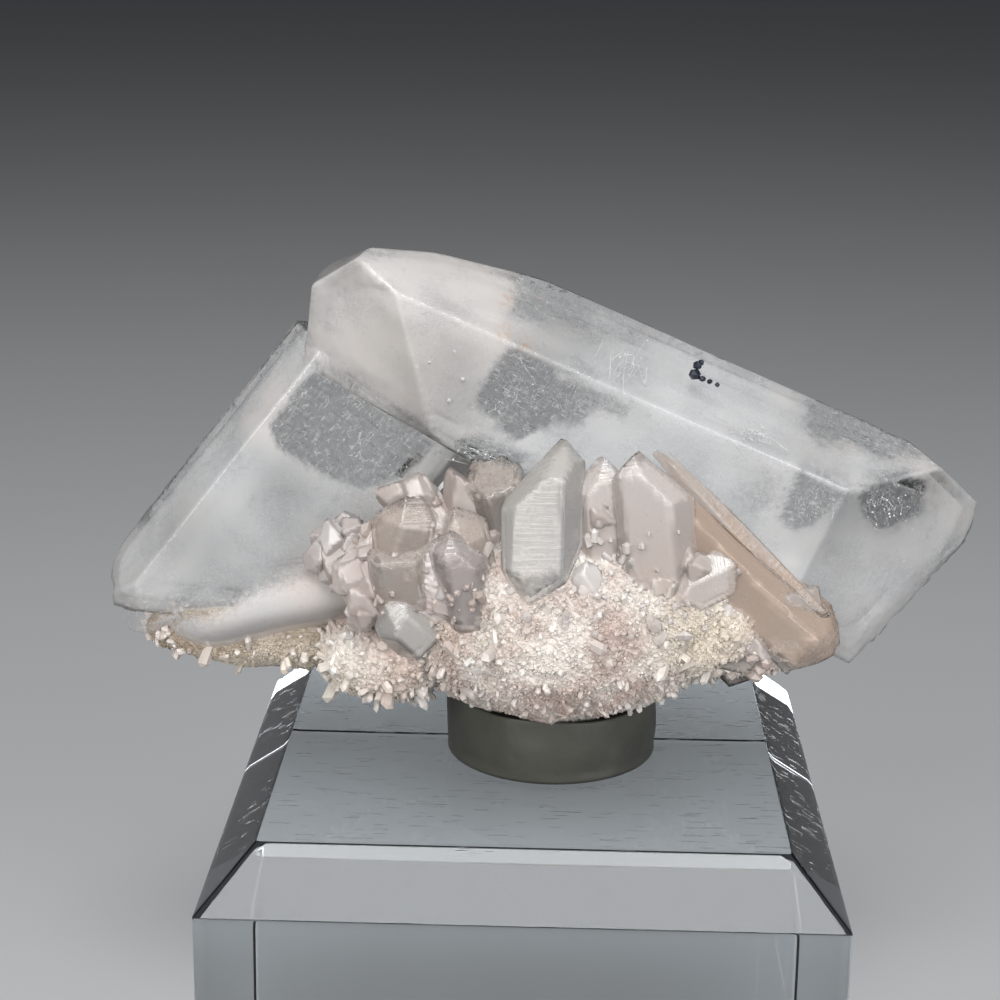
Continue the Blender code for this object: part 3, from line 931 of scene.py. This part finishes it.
def grain_finish(name, dark, pale):
    """Sugary quartz: the tint of its points picks between two colours, with golden stains."""
    material, tree, shader = new_finish(name, IOR=QUARTZ_IOR, Roughness=0.3)
    spot = add_node(tree, "TexCoord").outputs["Object"]
    spread = add_node(tree, "Mapping", {"Vector": spot, "Scale": (220.0, 220.0, 220.0)})
    wide = ramp(tree, noise(tree, spread.outputs[0], 1.0, 4.0), 0.32, 0.68, -0.4, 0.4)
    share = maths(tree, "ADD", carried(tree, "tint"), wide, clamp=True)
    tone = blend(tree, share, dark + (1,), pale + (1,))
    stained = blend(tree, carried(tree, "gold"), tone, (0.74, 0.66, 0.54, 1))
    tree.links.new(stained, shader.inputs["Base Color"])
    lets_lamps_through(tree, shader, 0.6)
    return material


def crust_tints(points, rng):
    """A random tint per point, darker in two stained spots, and how golden the place is."""
    pink = np.exp(-((points - (3.6, -11.5, 38.6)) ** 2).sum(-1) / 9.0)
    gold = np.exp(-((points - (14.0, -10.0, 45.0)) ** 2).sum(-1) / 14.0)
    gold += 0.8 * np.exp(-((points - (-22.0, -6.0, 39.6)) ** 2 / (60, 30, 4)).sum(-1))
    wide = 0.55 * rough_noise(points, 3.6, 3, 81)
    tint = 0.62 + wide + rng.uniform(-0.25, 0.25, len(points)) - 0.55 * pink
    return np.clip(tint, 0, 1), np.clip(gold + 0.3 * soft_noise(points, 4.0, 83), 0, 1)


grain_white = grain_finish("crust grains", (0.55, 0.43, 0.38), (0.80, 0.74, 0.68))
grain_lilac = grain_finish("lilac grains", (0.50, 0.42, 0.39), (0.72, 0.66, 0.63))
grain_brown = grain_finish("stained grains", (0.25, 0.18, 0.12), (0.46, 0.39, 0.32))
CELL = 0.27
rng = np.random.default_rng(17)
for name, (_, half, _) in LUMPS.items():
    rows = int(math.pi * (half[0] + half[2]) / 2 / CELL)
    columns = int(math.pi * (half[0] + half[1]) / CELL)
    lines = globe_lines(rows, columns)
    points = on_lump(name, lines) + lines * rng.uniform(-0.09, 0.09, (len(lines), 1))
    hidden = in_large(points, 0.6) | in_lumps(points, 0.75, but=name)
    tint, gold = crust_tints(points, rng)
    add_piece(f"crust_{name}", points, open_where(ball_faces(rows, columns), hidden),
              {"nest": grain_lilac, "arm": grain_brown}.get(name, grain_white),
              {"tint": tint, "gold": gold}, smooth=False)
print("crust lumps:", len(LUMPS))

# %% [markdown]
# ## Grains on the crust
#
# A grain is a short four-sided crystal with a point at each end: 10 corners and 12 faces. Grains
# lie on the lumps, most of them pointing outward, and are left out where a crystal or the putty
# already fills the place.

# %% Thousands of grains from one small shape
def many_crystals(places, axes, sizes, slender, rng, sides=6, jitter=0.0):
    """Each one: two rings of radius 0.5 at heights +-h, and a tip above and below."""
    count, last = len(places), 2 * sides + 1
    angle = np.arange(sides) * 2 * np.pi / sides
    ring = np.stack([0.5 * np.cos(angle), 0.5 * np.sin(angle)], -1)
    high = np.maximum(0.5 * slender - 0.35, 0.08)
    shape = np.zeros((count, last + 1, 3))
    shape[:, 1:sides + 1, :2] = shape[:, sides + 1:last, :2] = ring
    shape[:, 1:sides + 1, 2], shape[:, sides + 1:last, 2] = high[:, None], -high[:, None]
    shape[:, 0, 2], shape[:, last, 2] = 0.5 * slender, -0.5 * slender
    shape *= rng.uniform(1 - jitter, 1 + jitter, (count, last + 1, 1))
    shape[:, :, 0] *= rng.uniform(0.6, 1.1, (count, 1))
    axes = unit(axes)
    side = unit(np.cross(axes, rng.normal(size=(count, 3))))
    turn = np.stack([side, np.cross(axes, side), axes], 1)
    points = places[:, None] + np.einsum("nki,nij->nkj", shape * sizes[:, None, None], turn)
    here, ahead = np.arange(sides), (np.arange(sides) + 1) % sides
    top = np.stack([here * 0, 1 + here, 1 + ahead], -1)
    walls = np.stack([1 + here, 1 + sides + here, 1 + sides + ahead, 1 + ahead], -1)
    under = np.stack([here * 0 + last, 1 + sides + ahead, 1 + sides + here], -1)
    first = np.arange(count)[:, None, None] * (last + 1)
    faces = [(f[None] + first).reshape(-1, f.shape[1]) for f in (top, walls, under)]
    return points.reshape(-1, 3), faces


def per_corner(sides, **values):
    """One value for each crystal, given to all its corners."""
    return {key: np.repeat(value, 2 * sides + 2) for key, value in values.items()}


PUTTY = (2.0, -0.5, 9.3, 31.3, 38.2)  # middle in X and Y, radius, bottom and top


def taken(places, deeper, but=None):
    """True where a crystal or the putty already fills the place."""
    in_putty = np.hypot(places[:, 0] - PUTTY[0], places[:, 1] - PUTTY[1]) < PUTTY[2] + 0.2
    return in_crystals(places, deeper, but) | (in_putty & (places[:, 2] < PUTTY[4] + 0.2))


COUNTS = {"arm": 2000, "heel": 1200, "core": 8000, "right": 1500, "rear": 2600, "saddle": 1500,
          "hip": 300}
GRAIN_SIDES, POINT_SIDES = 4, 6
rng = np.random.default_rng(5)
for name, count in COUNTS.items():
    half = LUMPS[name][1]
    lines = unit(rng.normal((0, -0.5 * (name != "rear"), 0), 1, (count * 4, 3)) * half)
    places = on_lump(name, lines)
    keep = ~taken(places, 0.15) & ~in_lumps(places, 0.9, but=name)
    places, lines = places[keep][:count], lines[keep][:count]
    count = len(places)
    normal = unit(lines / half ** 2)
    sizes = 0.24 * np.exp(rng.normal(0, 0.32, count))
    places = places - 0.15 * sizes[:, None] * normal
    slender = rng.uniform(1.0, 2.2, count)
    axes = normal + rng.normal(0, 0.9, (count, 3))
    tint, gold = crust_tints(places, rng)
    points, faces = many_crystals(places, axes, sizes, slender, rng, GRAIN_SIDES, 0.25)
    add_piece(f"grains_{name}", points, faces, grain_brown if name == "arm" else grain_white,
              per_corner(GRAIN_SIDES, tint=tint, gold=gold), smooth=False)
    print(f"grains on {name}: {count}")

# %% [markdown]
# ## Druse
#
# Between the grains and the named crystals stand small points, one to three millimetres long.
# They are a grain's shape with six sides and longer, and they lean out from the crust.

# %% Small points standing on the crust
druse_finish = grain_finish("druse", (0.60, 0.49, 0.44), (0.84, 0.80, 0.76))
TRIED, MOST_POINTS = 420, 620
places, axes = [], []
for name in ["core", "core", "core", "right", "heel", "rear", "arm"]:
    half = LUMPS[name][1]
    lines = unit(rng.normal(size=(TRIED, 3)) * half)
    places.append(on_lump(name, lines))
    axes.append(unit(lines / half ** 2))
places, axes = np.concatenate(places), np.concatenate(axes)
keep = ~taken(places, 0.1) & (places[:, 2] > 37.5) & ~in_lumps(places, 0.86)
places, axes = places[keep], axes[keep]
pick = rng.permutation(len(places))[:MOST_POINTS]
places, axes = places[pick], axes[pick] + rng.normal(0, 0.5, (len(pick), 3))
axes[:, 2] += 0.35 * (places[:, 2] > 42)
sizes = rng.uniform(0.3, 0.6, len(places)) + 0.6 * rng.uniform(0, 1, len(places)) ** 6
slender = rng.uniform(1.8, 3.2, len(places))
points, faces = many_crystals(places, axes, sizes, slender, rng, POINT_SIDES, 0.16)
tint, gold = crust_tints(places, rng)
add_piece("druse_points", points, faces, druse_finish,
          per_corner(POINT_SIDES, tint=tint, gold=gold), smooth=False)
print("druse points:", len(places))

# %% [markdown]
# ## Angular lumps
#
# Between the clean prisms the cluster is made of crowded crystals that stopped each other's
# growth. They have no clear axis: each is a lump of quartz with a dozen or so flat sides. One is
# drawn like a crystal, from faces that look in random directions, laid against an ellipsoid.

# %% Crowded quartz with flat sides
CROWDED = {  # middle, half-size of the crowd, how many, size of one, how tall, tones
    "peaks": ((-8.0, -7.0, 53.2), (4.6, 1.9, 3.4), 46, (1.0, 1.9), 1.3,
              (0.40, 0.33, 0.30), (0.64, 0.58, 0.54)),
    "left": ((-12.6, -7.8, 47.4), (3.8, 2.6, 3.6), 40, (1.0, 2.1), 1.0,
             (0.40, 0.33, 0.30), (0.66, 0.60, 0.57)),
    "knobs": ((-16.0, -6.2, 50.4), (2.2, 1.6, 2.8), 18, (0.8, 1.6), 1.0,
              (0.44, 0.39, 0.37), (0.62, 0.58, 0.56)),
    "columns": ((-5.4, -9.4, 49.8), (2.0, 1.6, 3.6), 22, (0.9, 1.6), 2.0,
                (0.40, 0.36, 0.35), (0.60, 0.56, 0.55)),
    "saddle": ((11.4, -9.0, 49.8), (5.0, 1.9, 2.6), 38, (0.7, 1.7), 1.1,
               (0.46, 0.39, 0.35), (0.70, 0.65, 0.61)),
    "hip": ((18.0, -7.2, 43.4), (3.4, 1.8, 2.2), 22, (0.9, 2.0), 1.0,
            (0.42, 0.36, 0.33), (0.66, 0.61, 0.58)),
    "brow": ((3.6, -10.6, 48.6), (4.6, 1.3, 2.0), 20, (0.6, 1.4), 1.2,
             (0.50, 0.44, 0.41), (0.72, 0.68, 0.65)),
    "gap": ((5.8, -8.2, 54.6), (1.5, 0.9, 3.4), 9, (1.0, 1.6), 1.6,
            (0.46, 0.38, 0.34), (0.64, 0.58, 0.54)),
}
GOLD = (1 + 5 ** 0.5) / 2
ROUNDED = unit(np.array([np.roll((0, a, b * GOLD), k) for k in range(3)
                         for a in (-1, 1) for b in (-1, 1)]))
GLOBE = (14, 22)  # rows and columns of one lump
rng = np.random.default_rng(23)
lines = globe_lines(*GLOBE)
for name, (middle, spread, count, sizes, tall, dark, pale) in CROWDED.items():
    parts, looks, tints = [], [], []
    for place in np.array(middle) + unit(rng.normal(size=(count, 3))) * spread * rng.uniform(
            0.3, 1.0, (count, 1)):
        half = rng.uniform(*sizes) * np.array([0.9, 0.8, tall]) * rng.uniform(0.75, 1.25, 3)
        turn = np.linalg.qr(rng.normal(size=(3, 3)))[0]
        sides = unit(ROUNDED @ turn + rng.normal(0, 0.22, (12, 3)))
        reach = np.linalg.norm(sides * half, axis=-1) * rng.uniform(0.62, 1.0, 12)
        far, share, _ = meet_faces(place, lines, (sides, reach + sides @ place), 34.0)
        parts.append(place + lines * far[:, None])
        looks.append(unit(share @ sides))
        edge = smoothstep(0.15, 0.5, 1 - share.max(-1))
        # Each face has its own random tone, and the colour is paler along the edges: a painted
        # highlight.
        tints.append(0.35 + share @ rng.uniform(-0.25, 0.3, 12) + 0.4 * edge
                     + rng.uniform(-0.15, 0.15))
    points, tint = np.concatenate(parts), np.clip(np.concatenate(tints), 0, 1)
    faces = [np.concatenate([group + k * len(lines) for k in range(count)])
             for group in ball_faces(*GLOBE)]
    hidden = taken(points, 0.2) | in_lumps(points)
    add_piece(f"crowded_{name}", points, open_where(faces, hidden),
              grain_finish(f"crowded {name}", dark, pale), {"tint": tint, "gold": 0 * tint},
              looks=np.concatenate(looks))
    print(f"crowded {name}: {count}")

# %% [markdown]
# ## Overgrowth
#
# Where two crystals of the cluster meet there is no dark gap: the seam is filled by blocky little
# crystals that grew last. They are sown on the lower part of each crystal and on the lumps between
# them, half sunk into what carries them.

# %% Blocky little crystals in the seams
OVERGROWN = {"peak_left": 40, "peak_right": 40, "lilac": 20, "box": 6, "banded": 14, "leaf": 8,
             "right_point": 16, "shard_block": 20, "clear_back": 12, "bulb": 4, "wedge": 14}
SOWN_LUMPS = {  # how many, smallest, largest, look
    "nest": (150, 0.5, 1.4, "beige"), "saddle": (90, 0.4, 1.2, "white"),
    "hip": (50, 0.6, 1.5, "lilac"), "core": (70, 0.4, 1.1, "pink")}
TINTS = {"white": 0.95, "pink": 0.75, "rose": 0.35, "beige": 0.30, "lilac": 0.20, "bulb": 0.35}
sown = []
for name, count in OVERGROWN.items():
    root, tip, *_, look = SMALL[name]
    middle, axis, length = (root + tip) / 2, unit(tip - root), np.linalg.norm(tip - root)
    lines = unit(rng.normal((0, -0.8, -0.2), 1, (count * 6, 3)))
    places = middle + lines * meet_faces(middle, lines, small_faces[name], 30.0)[0][:, None]
    along = (places - root) @ axis / length
    keep = ~taken(places, 0.25, but=name) & ~in_lumps(places, 0.9)
    keep &= rng.uniform(0, 1, len(places)) > smoothstep(0.1, 0.55, along)
    places, lines = places[keep][:count], lines[keep][:count]
    size = rng.uniform(0.3, 1.0, len(places)) * rng.uniform(0.5, 1.0, len(places))
    places = places - 0.2 * size[:, None] * lines
    sown.append((places, axis + rng.normal(0, 0.35, (len(places), 3)), size, look))
for name, (count, least, most, look) in SOWN_LUMPS.items():
    half = LUMPS[name][1]
    lines = unit(rng.normal((0, -0.7, 0.2), 1, (count * 6, 3)) * half)
    places = on_lump(name, lines)
    keep = ~taken(places, 0.2) & ((places[:, 2] > 46) | (name != "core"))
    places, lines = places[keep][:count], lines[keep][:count]
    size = least + (most - least) * rng.uniform(0, 1, len(places)) ** 2
    lean = rng.normal(0, 0.45, lines.shape) + (0, 0, 0.3)
    sown.append((places, unit(lines / half ** 2) + lean, size, look))
places, axes, sizes = (np.concatenate([part[k] for part in sown]) for k in range(3))
tint = np.concatenate([np.full(len(part[0]), TINTS[part[3]]) for part in sown])
tint = np.clip(tint + rng.normal(0, 0.12, len(tint)), 0, 1)
slender = rng.uniform(1.1, 2.1, len(places))
points, faces = many_crystals(places, axes, sizes, slender, rng, POINT_SIDES, 0.14)
add_piece("overgrowth", points, faces,
          grain_finish("overgrowth", (0.46, 0.38, 0.34), (0.66, 0.61, 0.58)),
          per_corner(POINT_SIDES, tint=tint, gold=0 * tint), smooth=False)
print("overgrowth:", len(places))

# %% [markdown]
# ## What is sealed in the quartz
#
# The clear windows are crossed by fine white fibres, healed cracks and flecks. Fibres are thin
# three-sided threads that bend a little and taper, all drawn from one array. Flecks are the grain
# shape again, pressed flat.

# %% Fibres, flecks and specks
def threads(starts, ends, bend, radius, rng, steps=6):
    """Threads along a parabola: start + t (end - start) + 4 t (1 - t) bend, radius tapered."""
    count = len(starts)
    t = np.linspace(0, 1, steps)[None, :, None]
    push = rng.normal(0, 1, (count, 1, 3)) * bend
    path = starts[:, None] + t * (ends - starts)[:, None] + 4 * t * (1 - t) * push
    along = unit(ends - starts)
    side = unit(np.cross(along, rng.normal(size=(count, 3))))
    other = np.cross(along, side)
    angle = np.radians([0, 120, 240])
    ring = np.cos(angle)[:, None] * side[:, None] + np.sin(angle)[:, None] * other[:, None]
    thin = radius[:, None, None] * (0.25 + 0.75 * np.sin(np.pi * np.clip(t, 0.04, 0.96)))
    points = path[:, :, None] + ring[:, None] * thin[..., None]
    first = np.arange(count)[:, None, None, None] * steps * 3
    step = np.arange(steps - 1)[:, None, None] * 3
    here = np.array([[0, 1, 4, 3], [1, 2, 5, 4], [2, 0, 3, 5]])
    sides = (first + step + here).reshape(-1, 4)
    caps = np.array([[0, 2, 1], [steps * 3 - 3, steps * 3 - 2, steps * 3 - 1]])
    caps = (np.arange(count)[:, None, None] * steps * 3 + caps).reshape(-1, 3)
    return points.reshape(-1, 3), [sides, caps]


fibre_finish = mottled("healed cracks", 900.0, 2.0, (0.72, 0.75, 0.77), (0.95, 0.95, 0.93),
                       Roughness=0.35, IOR=1.2)[0]

BUNDLES = {  # middle, half-size, direction, length, how many
    "window_crackle": ((0.0, -5.0, 63.8), (4.2, 2.2, 2.6), (0.6, 0.1, 0.8), 1.3, 60),
    "main_feather": ((7.0, -5.6, 65.2), (1.8, 1.2, 2.6), (0.35, 0.1, 0.93), 2.4, 90),
    "low_feather": ((8.4, -6.0, 63.0), (1.6, 1.0, 1.8), (-0.5, 0.1, 0.8), 1.8, 50),
    "right_feather": ((17.2, -6.4, 60.8), (2.2, 1.0, 1.2), (0.8, 0.1, -0.5), 2.0, 50),
    "ridge_lines": ((22.6, -5.6, 55.4), (2.2, 1.4, 1.6), (0.15, 0.0, 1.0), 1.6, 60),
    "end_lines": ((28.6, -4.2, 54.8), (2.6, 1.4, 1.4), (-0.4, 0.1, 0.9), 1.0, 50),
    "left_crackle": ((-13.6, -0.6, 58.6), (5.6, 1.6, 3.4), (-0.6, 0.1, 0.75), 1.0, 60),
    "striped_lines": ((-3.4, -5.8, 58.8), (2.4, 1.0, 1.2), (0.86, 0.0, -0.5), 2.2, 40),
}
starts, ends, radii = [], [], []
for middle, half, along, length, count in BUNDLES.values():
    places = middle + rng.normal(0, 0.45, (count, 3)) * half
    way = unit(along + rng.normal(0, 0.35, (count, 3)))
    run = 0.5 * length * rng.uniform(0.3, 1.2, (count, 1))
    starts.append(places - way * run)
    ends.append(places + way * run)
    radii.append(rng.uniform(0.010, 0.030, count))
# One thicker needle crosses the middle window
starts.append([[-1.2, -5.6, 67.0]])
ends.append([[0.4, -5.2, 64.7]])
radii.append([0.07])
points, faces = threads(np.concatenate(starts), np.concatenate(ends), 0.07,
                        np.concatenate(radii), rng)
add_piece("inner_fibres", points, faces, fibre_finish)

# Flecks and sparkles, as flat grains
SPARKLES = [(-8.8, -5.6, 70.4), (-6.3, -6.4, 67.4), (-8.3, -6.4, 66.5), (-9.2, -6.2, 66.1),
            (-6.7, -6.6, 63.4), (-5.6, -6.6, 65.2)]
places = [middle + rng.normal(0, 0.5, (60, 3)) * half
          for middle, half, *_ in BUNDLES.values()]
places = np.concatenate(places + [np.array(SPARKLES)])
sizes = np.concatenate([rng.uniform(0.06, 0.2, len(places) - len(SPARKLES)),
                        np.full(len(SPARKLES), 0.42)])
points, faces = many_crystals(places, rng.normal(size=(len(places), 3)), sizes,
                              np.full(len(places), 0.9), rng)
add_piece("inner_flecks", points, faces, fibre_finish, smooth=False)

# A thin bright bar stands in front of the left crystal's lower corner
points, faces = many_crystals(np.array([[-7.5, -6.4, 55.7]]), np.array([[1.7, 0.1, 2.1]]),
                              np.array([0.62]), np.array([4.4]), rng, 4)
add_piece("white_bar", points, faces, fibre_finish, smooth=False)

speck_finish = mottled("dark speck", 1500.0, 2.0, (0.008, 0.010, 0.016), (0.05, 0.06, 0.09),
                       Roughness=0.35, Metallic=0.3)[0]
SPECKS = [((13.2, -4.9, 66.2), 0.75), ((13.0, -5.1, 65.5), 0.9), ((13.6, -5.3, 65.2), 0.6),
          ((14.2, -5.4, 65.0), 0.5), ((14.8, -5.6, 64.8), 0.4), ((13.5, -4.7, 66.4), 0.5),
          ((-13.3, -1.0, 74.0), 0.35), ((-9.0, -1.0, 74.2), 0.3), ((-18.0, -1.0, 70.4), 0.3)]
places, sizes = (np.array(column) for column in zip(*SPECKS))
points, faces = many_crystals(places, rng.normal(size=(len(places), 3)), sizes,
                              np.full(len(places), 1.1), rng)
add_piece("dark_specks", points, faces, speck_finish, smooth=False)
print("threads:", sum(len(part) for part in radii), "specks:", len(SPECKS))

# %% [markdown]
# ## Putty
#
# A pad of grey mineral putty was rolled, pressed flat on the block and pushed up under the crust.
# It is a turned shape with thumb dents. Its top follows the underside of the crust, with a gap.

# %% Putty pad
def crust_underside(x, y):
    """Lowest height of the lumps over a place, or a large number where there is none."""
    low = np.full(x.shape, 1e3)
    for name in ("core", "right", "heel", "rear"):
        middle, half, _ = LUMPS[name]
        out = ((x - middle[0]) / half[0]) ** 2 + ((y - middle[1]) / half[1]) ** 2
        under = middle[2] - half[2] * np.sqrt(np.clip(1 - out, 0, 1))
        low = np.where(out < 1, np.minimum(low, under), low)
    return low


COLUMNS, ROOF_GAP = 120, 0.3
cx, cy, radius, low_z, high_z = PUTTY
share, across = np.linspace(0, 1, 25), np.linspace(0, 1, 18)[1:-1]
wall_r = radius * (0.965 + 0.045 * np.sin(np.pi * share) - 0.05 * share)
wall_z = low_z + (high_z - low_z) * share
profile_r = np.concatenate([wall_r[0] * across, wall_r, wall_r[-1] * across[::-1]])[::-1]
profile_z = np.concatenate([across * 0 + low_z, wall_z, across * 0 + high_z])[::-1]
around = np.linspace(0, 2 * np.pi, COLUMNS + 1)[:-1]
x, y = cx + np.outer(profile_r, np.cos(around)), cy + np.outer(profile_r, np.sin(around))
points = np.stack([x, y, np.repeat(profile_z, COLUMNS).reshape(x.shape)], -1).reshape(-1, 3)
points = np.concatenate([[[cx, cy, high_z]], points, [[cx, cy, low_z]]])
dents = 0.20 * rough_noise(points, 4.0, 3, 70) - 0.12
outward = unit(np.stack([points[:, 0] - cx, points[:, 1] - cy, np.full(len(points), 1e-6)], -1))
points += outward * (dents * smoothstep(low_z, low_z + 1.0, points[:, 2]))[:, None]
roof = crust_underside(points[:, 0], points[:, 1]) - ROOF_GAP
points[:, 2] = np.maximum(np.minimum(points[:, 2], roof), low_z)
# The putty is coloured darker than its own olive grey to stand for the shade under the crust:
# painted shade.
putty_painted_shade_finish, tree, shader, spot = mottled(
    "putty with painted shade", 420.0, 5.0, (0.050, 0.050, 0.040), (0.095, 0.095, 0.078), Roughness=0.5,
    Subsurface_Weight=0.3, Subsurface_Scale=0.0012, Subsurface_Radius=(1.0, 1.0, 0.8))
relief = add_node(tree, "Bump", {"Height": noise(tree, spot, 1500.0, 3.0), "Distance": 0.0001,
                                 "Strength": 0.4})
tree.links.new(relief.outputs[0], shader.inputs["Normal"])
add_piece("putty_pad", points, ball_faces(len(profile_r), COLUMNS), putty_painted_shade_finish,
          node="mineral_putty")
print("putty rows:", len(profile_r))

# %% [markdown]
# ## Clear block
#
# The stand is a sawn and polished acrylic block with a wide bevel round its top. Each level is a
# square with slightly rounded corners. Extra rows beside every edge keep the large faces flat in
# the light. The top is finely scratched by use.

# %% Acrylic block
SIDE, TALL, BEVEL, ROUND = 50.8, 31.0, 4.5, 0.22
CORNER, RING = 0.3, 44  # the largest corner radius seen from above, and the points of a ring


def square_ring(half, corner):
    """Quarter arcs at the corners of a square, with points on the sides between them."""
    angle = np.radians(np.linspace(0, 90, 5) + 90 * np.arange(4)[:, None])
    middle = (half - corner) * np.array([[1, 1], [-1, 1], [-1, -1], [1, -1]])
    arcs = middle[:, None] + corner * np.stack([np.cos(angle), np.sin(angle)], -1)
    ends, begins = arcs[:, -1:], np.roll(arcs, -1, axis=0)[:, :1]
    share = np.array([0.015, 0.2, 0.4, 0.6, 0.8, 0.985])[:, None]
    return np.concatenate([arcs, ends + (begins - ends) * share], 1).reshape(-1, 2)


def rounded(out, up, start, end, steps):
    """Part of a small circle in the block's outline, as places out from the axis and up."""
    angle = np.radians(np.linspace(start, end, steps))
    return list(zip(out + ROUND * np.cos(angle), up + ROUND * np.sin(angle)))


half, shoulder = SIDE / 2, TALL - BEVEL
lift, inner = ROUND * math.tan(math.radians(22.5)), half - BEVEL - 0.414 * ROUND
path = [(4.0, 0.0), (half - 8, 0.0), (half - ROUND - 0.6, 0.0)]
path += rounded(half - ROUND, ROUND, -90, 0, 5)
path += [(half, ROUND + 0.6), (half, 9.0), (half, 18.0), (half, shoulder - lift - 0.6)]
path += rounded(half - ROUND, shoulder - lift, 0, 45, 4)
top_edge = rounded(inner, TALL - ROUND, 45, 90, 4)
slope = np.array([path[-1], top_edge[0]])
path += [tuple(slope[0] + (slope[1] - slope[0]) * t) for t in (0.1, 0.5, 0.9)] + top_edge
path += [(inner - 0.6, TALL), (inner - 7, TALL), (4.0, TALL)]
rows = [np.column_stack([square_ring(out, min(CORNER, out / 4)), np.full(RING, up)])
        for out, up in path[::-1]]
points = np.concatenate([[[0, 0, TALL]], *rows, [[0, 0, 0]]])

scratches, given, result = new_group("fine scratches", {"Spot": ("Vector", None)},
                                     {"Amount": "Float"})
for number, turn in enumerate((0.35, 1.2, 2.2, 2.9)):
    turned = add_node(scratches, "Mapping", {
        "Vector": given["Spot"], "Rotation": (0, 0, turn),
        "Location": (number * 3.1, number * 1.7, 0), "Scale": (260.0, 3400.0, 90.0)})
    hit = ramp(scratches, noise(scratches, turned.outputs[0], 1.0, 1.0), 0.72, 0.78)
    total = maths(scratches, "MAXIMUM", total, hit) if number else hit
height = add_node(scratches, "SeparateXYZ", {0: given["Spot"]}).outputs["Z"]
on_top = ramp(scratches, height, 0.0306, 0.0309)
scratches.links.new(maths(scratches, "MULTIPLY", total, on_top), result["Amount"])

acrylic, tree, shader = new_finish("clear acrylic", Base_Color=(0.84, 0.90, 0.94, 1), IOR=1.49,
                                   Transmission_Weight=1.0)
spot = add_node(tree, "TexCoord").outputs["Object"]
amount = use_group(tree, scratches, Spot=spot).outputs["Amount"]
dull = ramp(tree, noise(tree, spot, 160.0, 6.0), 0.4, 0.8, 0.0, 0.05)
relief = add_node(tree, "Bump", {"Height": amount, "Distance": 0.00003, "Strength": 0.5},
                  invert=True)
tree.links.new(maths(tree, "MULTIPLY_ADD", amount, 0.3, dull), shader.inputs["Roughness"])
tree.links.new(relief.outputs[0], shader.inputs["Normal"])
lets_lamps_through(tree, shader)
add_piece("clear_block", points, ball_faces(len(path), RING), acrylic, node="display_block")
print("block levels:", len(path))

# %% [markdown]
# ## Floor, light and camera
#
# A plain pale floor, a large soft lamp at the front left, a weaker one at the right, and one
# above. The lamps stand near the piece, so the far floor is dimmer and the clear quartz reads
# darker than the milk, as it does in the photograph. The camera stands where the photographer's
# did: in front, a little to the left of the middle, looking down by about 17 degrees.

# %% Floor
floor_mesh = bpy.data.meshes.new("floor")
floor_mesh.from_pydata([(-3, -2, -1e-4), (3, -2, -1e-4), (3, 5, -1e-4), (-3, 5, -1e-4)], [],
                       [(0, 1, 2, 3)])
floor = bpy.data.objects.new("floor", floor_mesh)
bpy.context.scene.collection.objects.link(floor)
floor_finish = mottled("pale floor", 9.0, 5.0, (0.60, 0.605, 0.61), (0.64, 0.645, 0.65),
                       Roughness=0.7, Specular_IOR_Level=0.2)[0]
floor_mesh.materials.append(floor_finish)
print("floor laid")

# %% Lamps and world
AIM = mathutils.Vector((0.0, 0.0, 0.05))


def add_lamp(name, place, size, watts, colour):
    """A soft rectangular lamp that faces the piece."""
    light = bpy.data.lights.new(name, "AREA")
    light.shape = "RECTANGLE"
    light.size, light.size_y = size
    light.energy, light.color = watts, colour
    lamp = bpy.data.objects.new(name, light)
    lamp.location = place
    look = AIM - mathutils.Vector(place)
    lamp.rotation_euler = look.to_track_quat("-Z", "Y").to_euler()
    bpy.context.scene.collection.objects.link(lamp)


add_lamp("key", (-0.26, -0.40, 0.24), (0.34, 0.34), 1.5, (1.0, 0.98, 0.96))
add_lamp("fill", (0.34, -0.34, 0.22), (0.34, 0.34), 1.25, (0.97, 0.98, 1.0))
add_lamp("over", (0.0, -0.26, 0.48), (0.30, 0.16), 1.4, (0.96, 0.98, 1.0))
world = bpy.data.worlds.new("studio")
bpy.context.scene.world = world
world.use_nodes = True
sky = world.node_tree.nodes["Background"].inputs
sky["Color"].default_value, sky["Strength"].default_value = (0.80, 0.86, 0.92, 1), 0.06
bpy.context.scene.view_settings.view_transform = "Standard"
cycles = bpy.context.scene.cycles
cycles.max_bounces, cycles.diffuse_bounces, cycles.glossy_bounces = 6, 1, 2
cycles.transmission_bounces, cycles.transparent_max_bounces = 5, 12
cycles.use_light_tree = False
cycles.caustics_reflective = cycles.caustics_refractive = False

# %% Camera
eye = bpy.data.cameras.new("camera")
eye.lens, eye.sensor_width, eye.sensor_height = 75.6, 36.0, 36.0
eye.clip_start, eye.clip_end = 0.01, 20.0
camera = bpy.data.objects.new("camera", eye)
right, up = (0.99945, 0.03088, 0.01171), (-0.02002, 0.28456, 0.95845)
ahead = (-0.02626, 0.95816, -0.28502)
turn = mathutils.Matrix([right, up, [-v for v in ahead]]).transposed().to_4x4()
camera.matrix_world = mathutils.Matrix.Translation((0.00197, -0.17041, 0.1038)) @ turn
bpy.context.scene.collection.objects.link(camera)
bpy.context.scene.camera = camera
print("camera at", tuple(round(v, 4) for v in camera.matrix_world.translation))
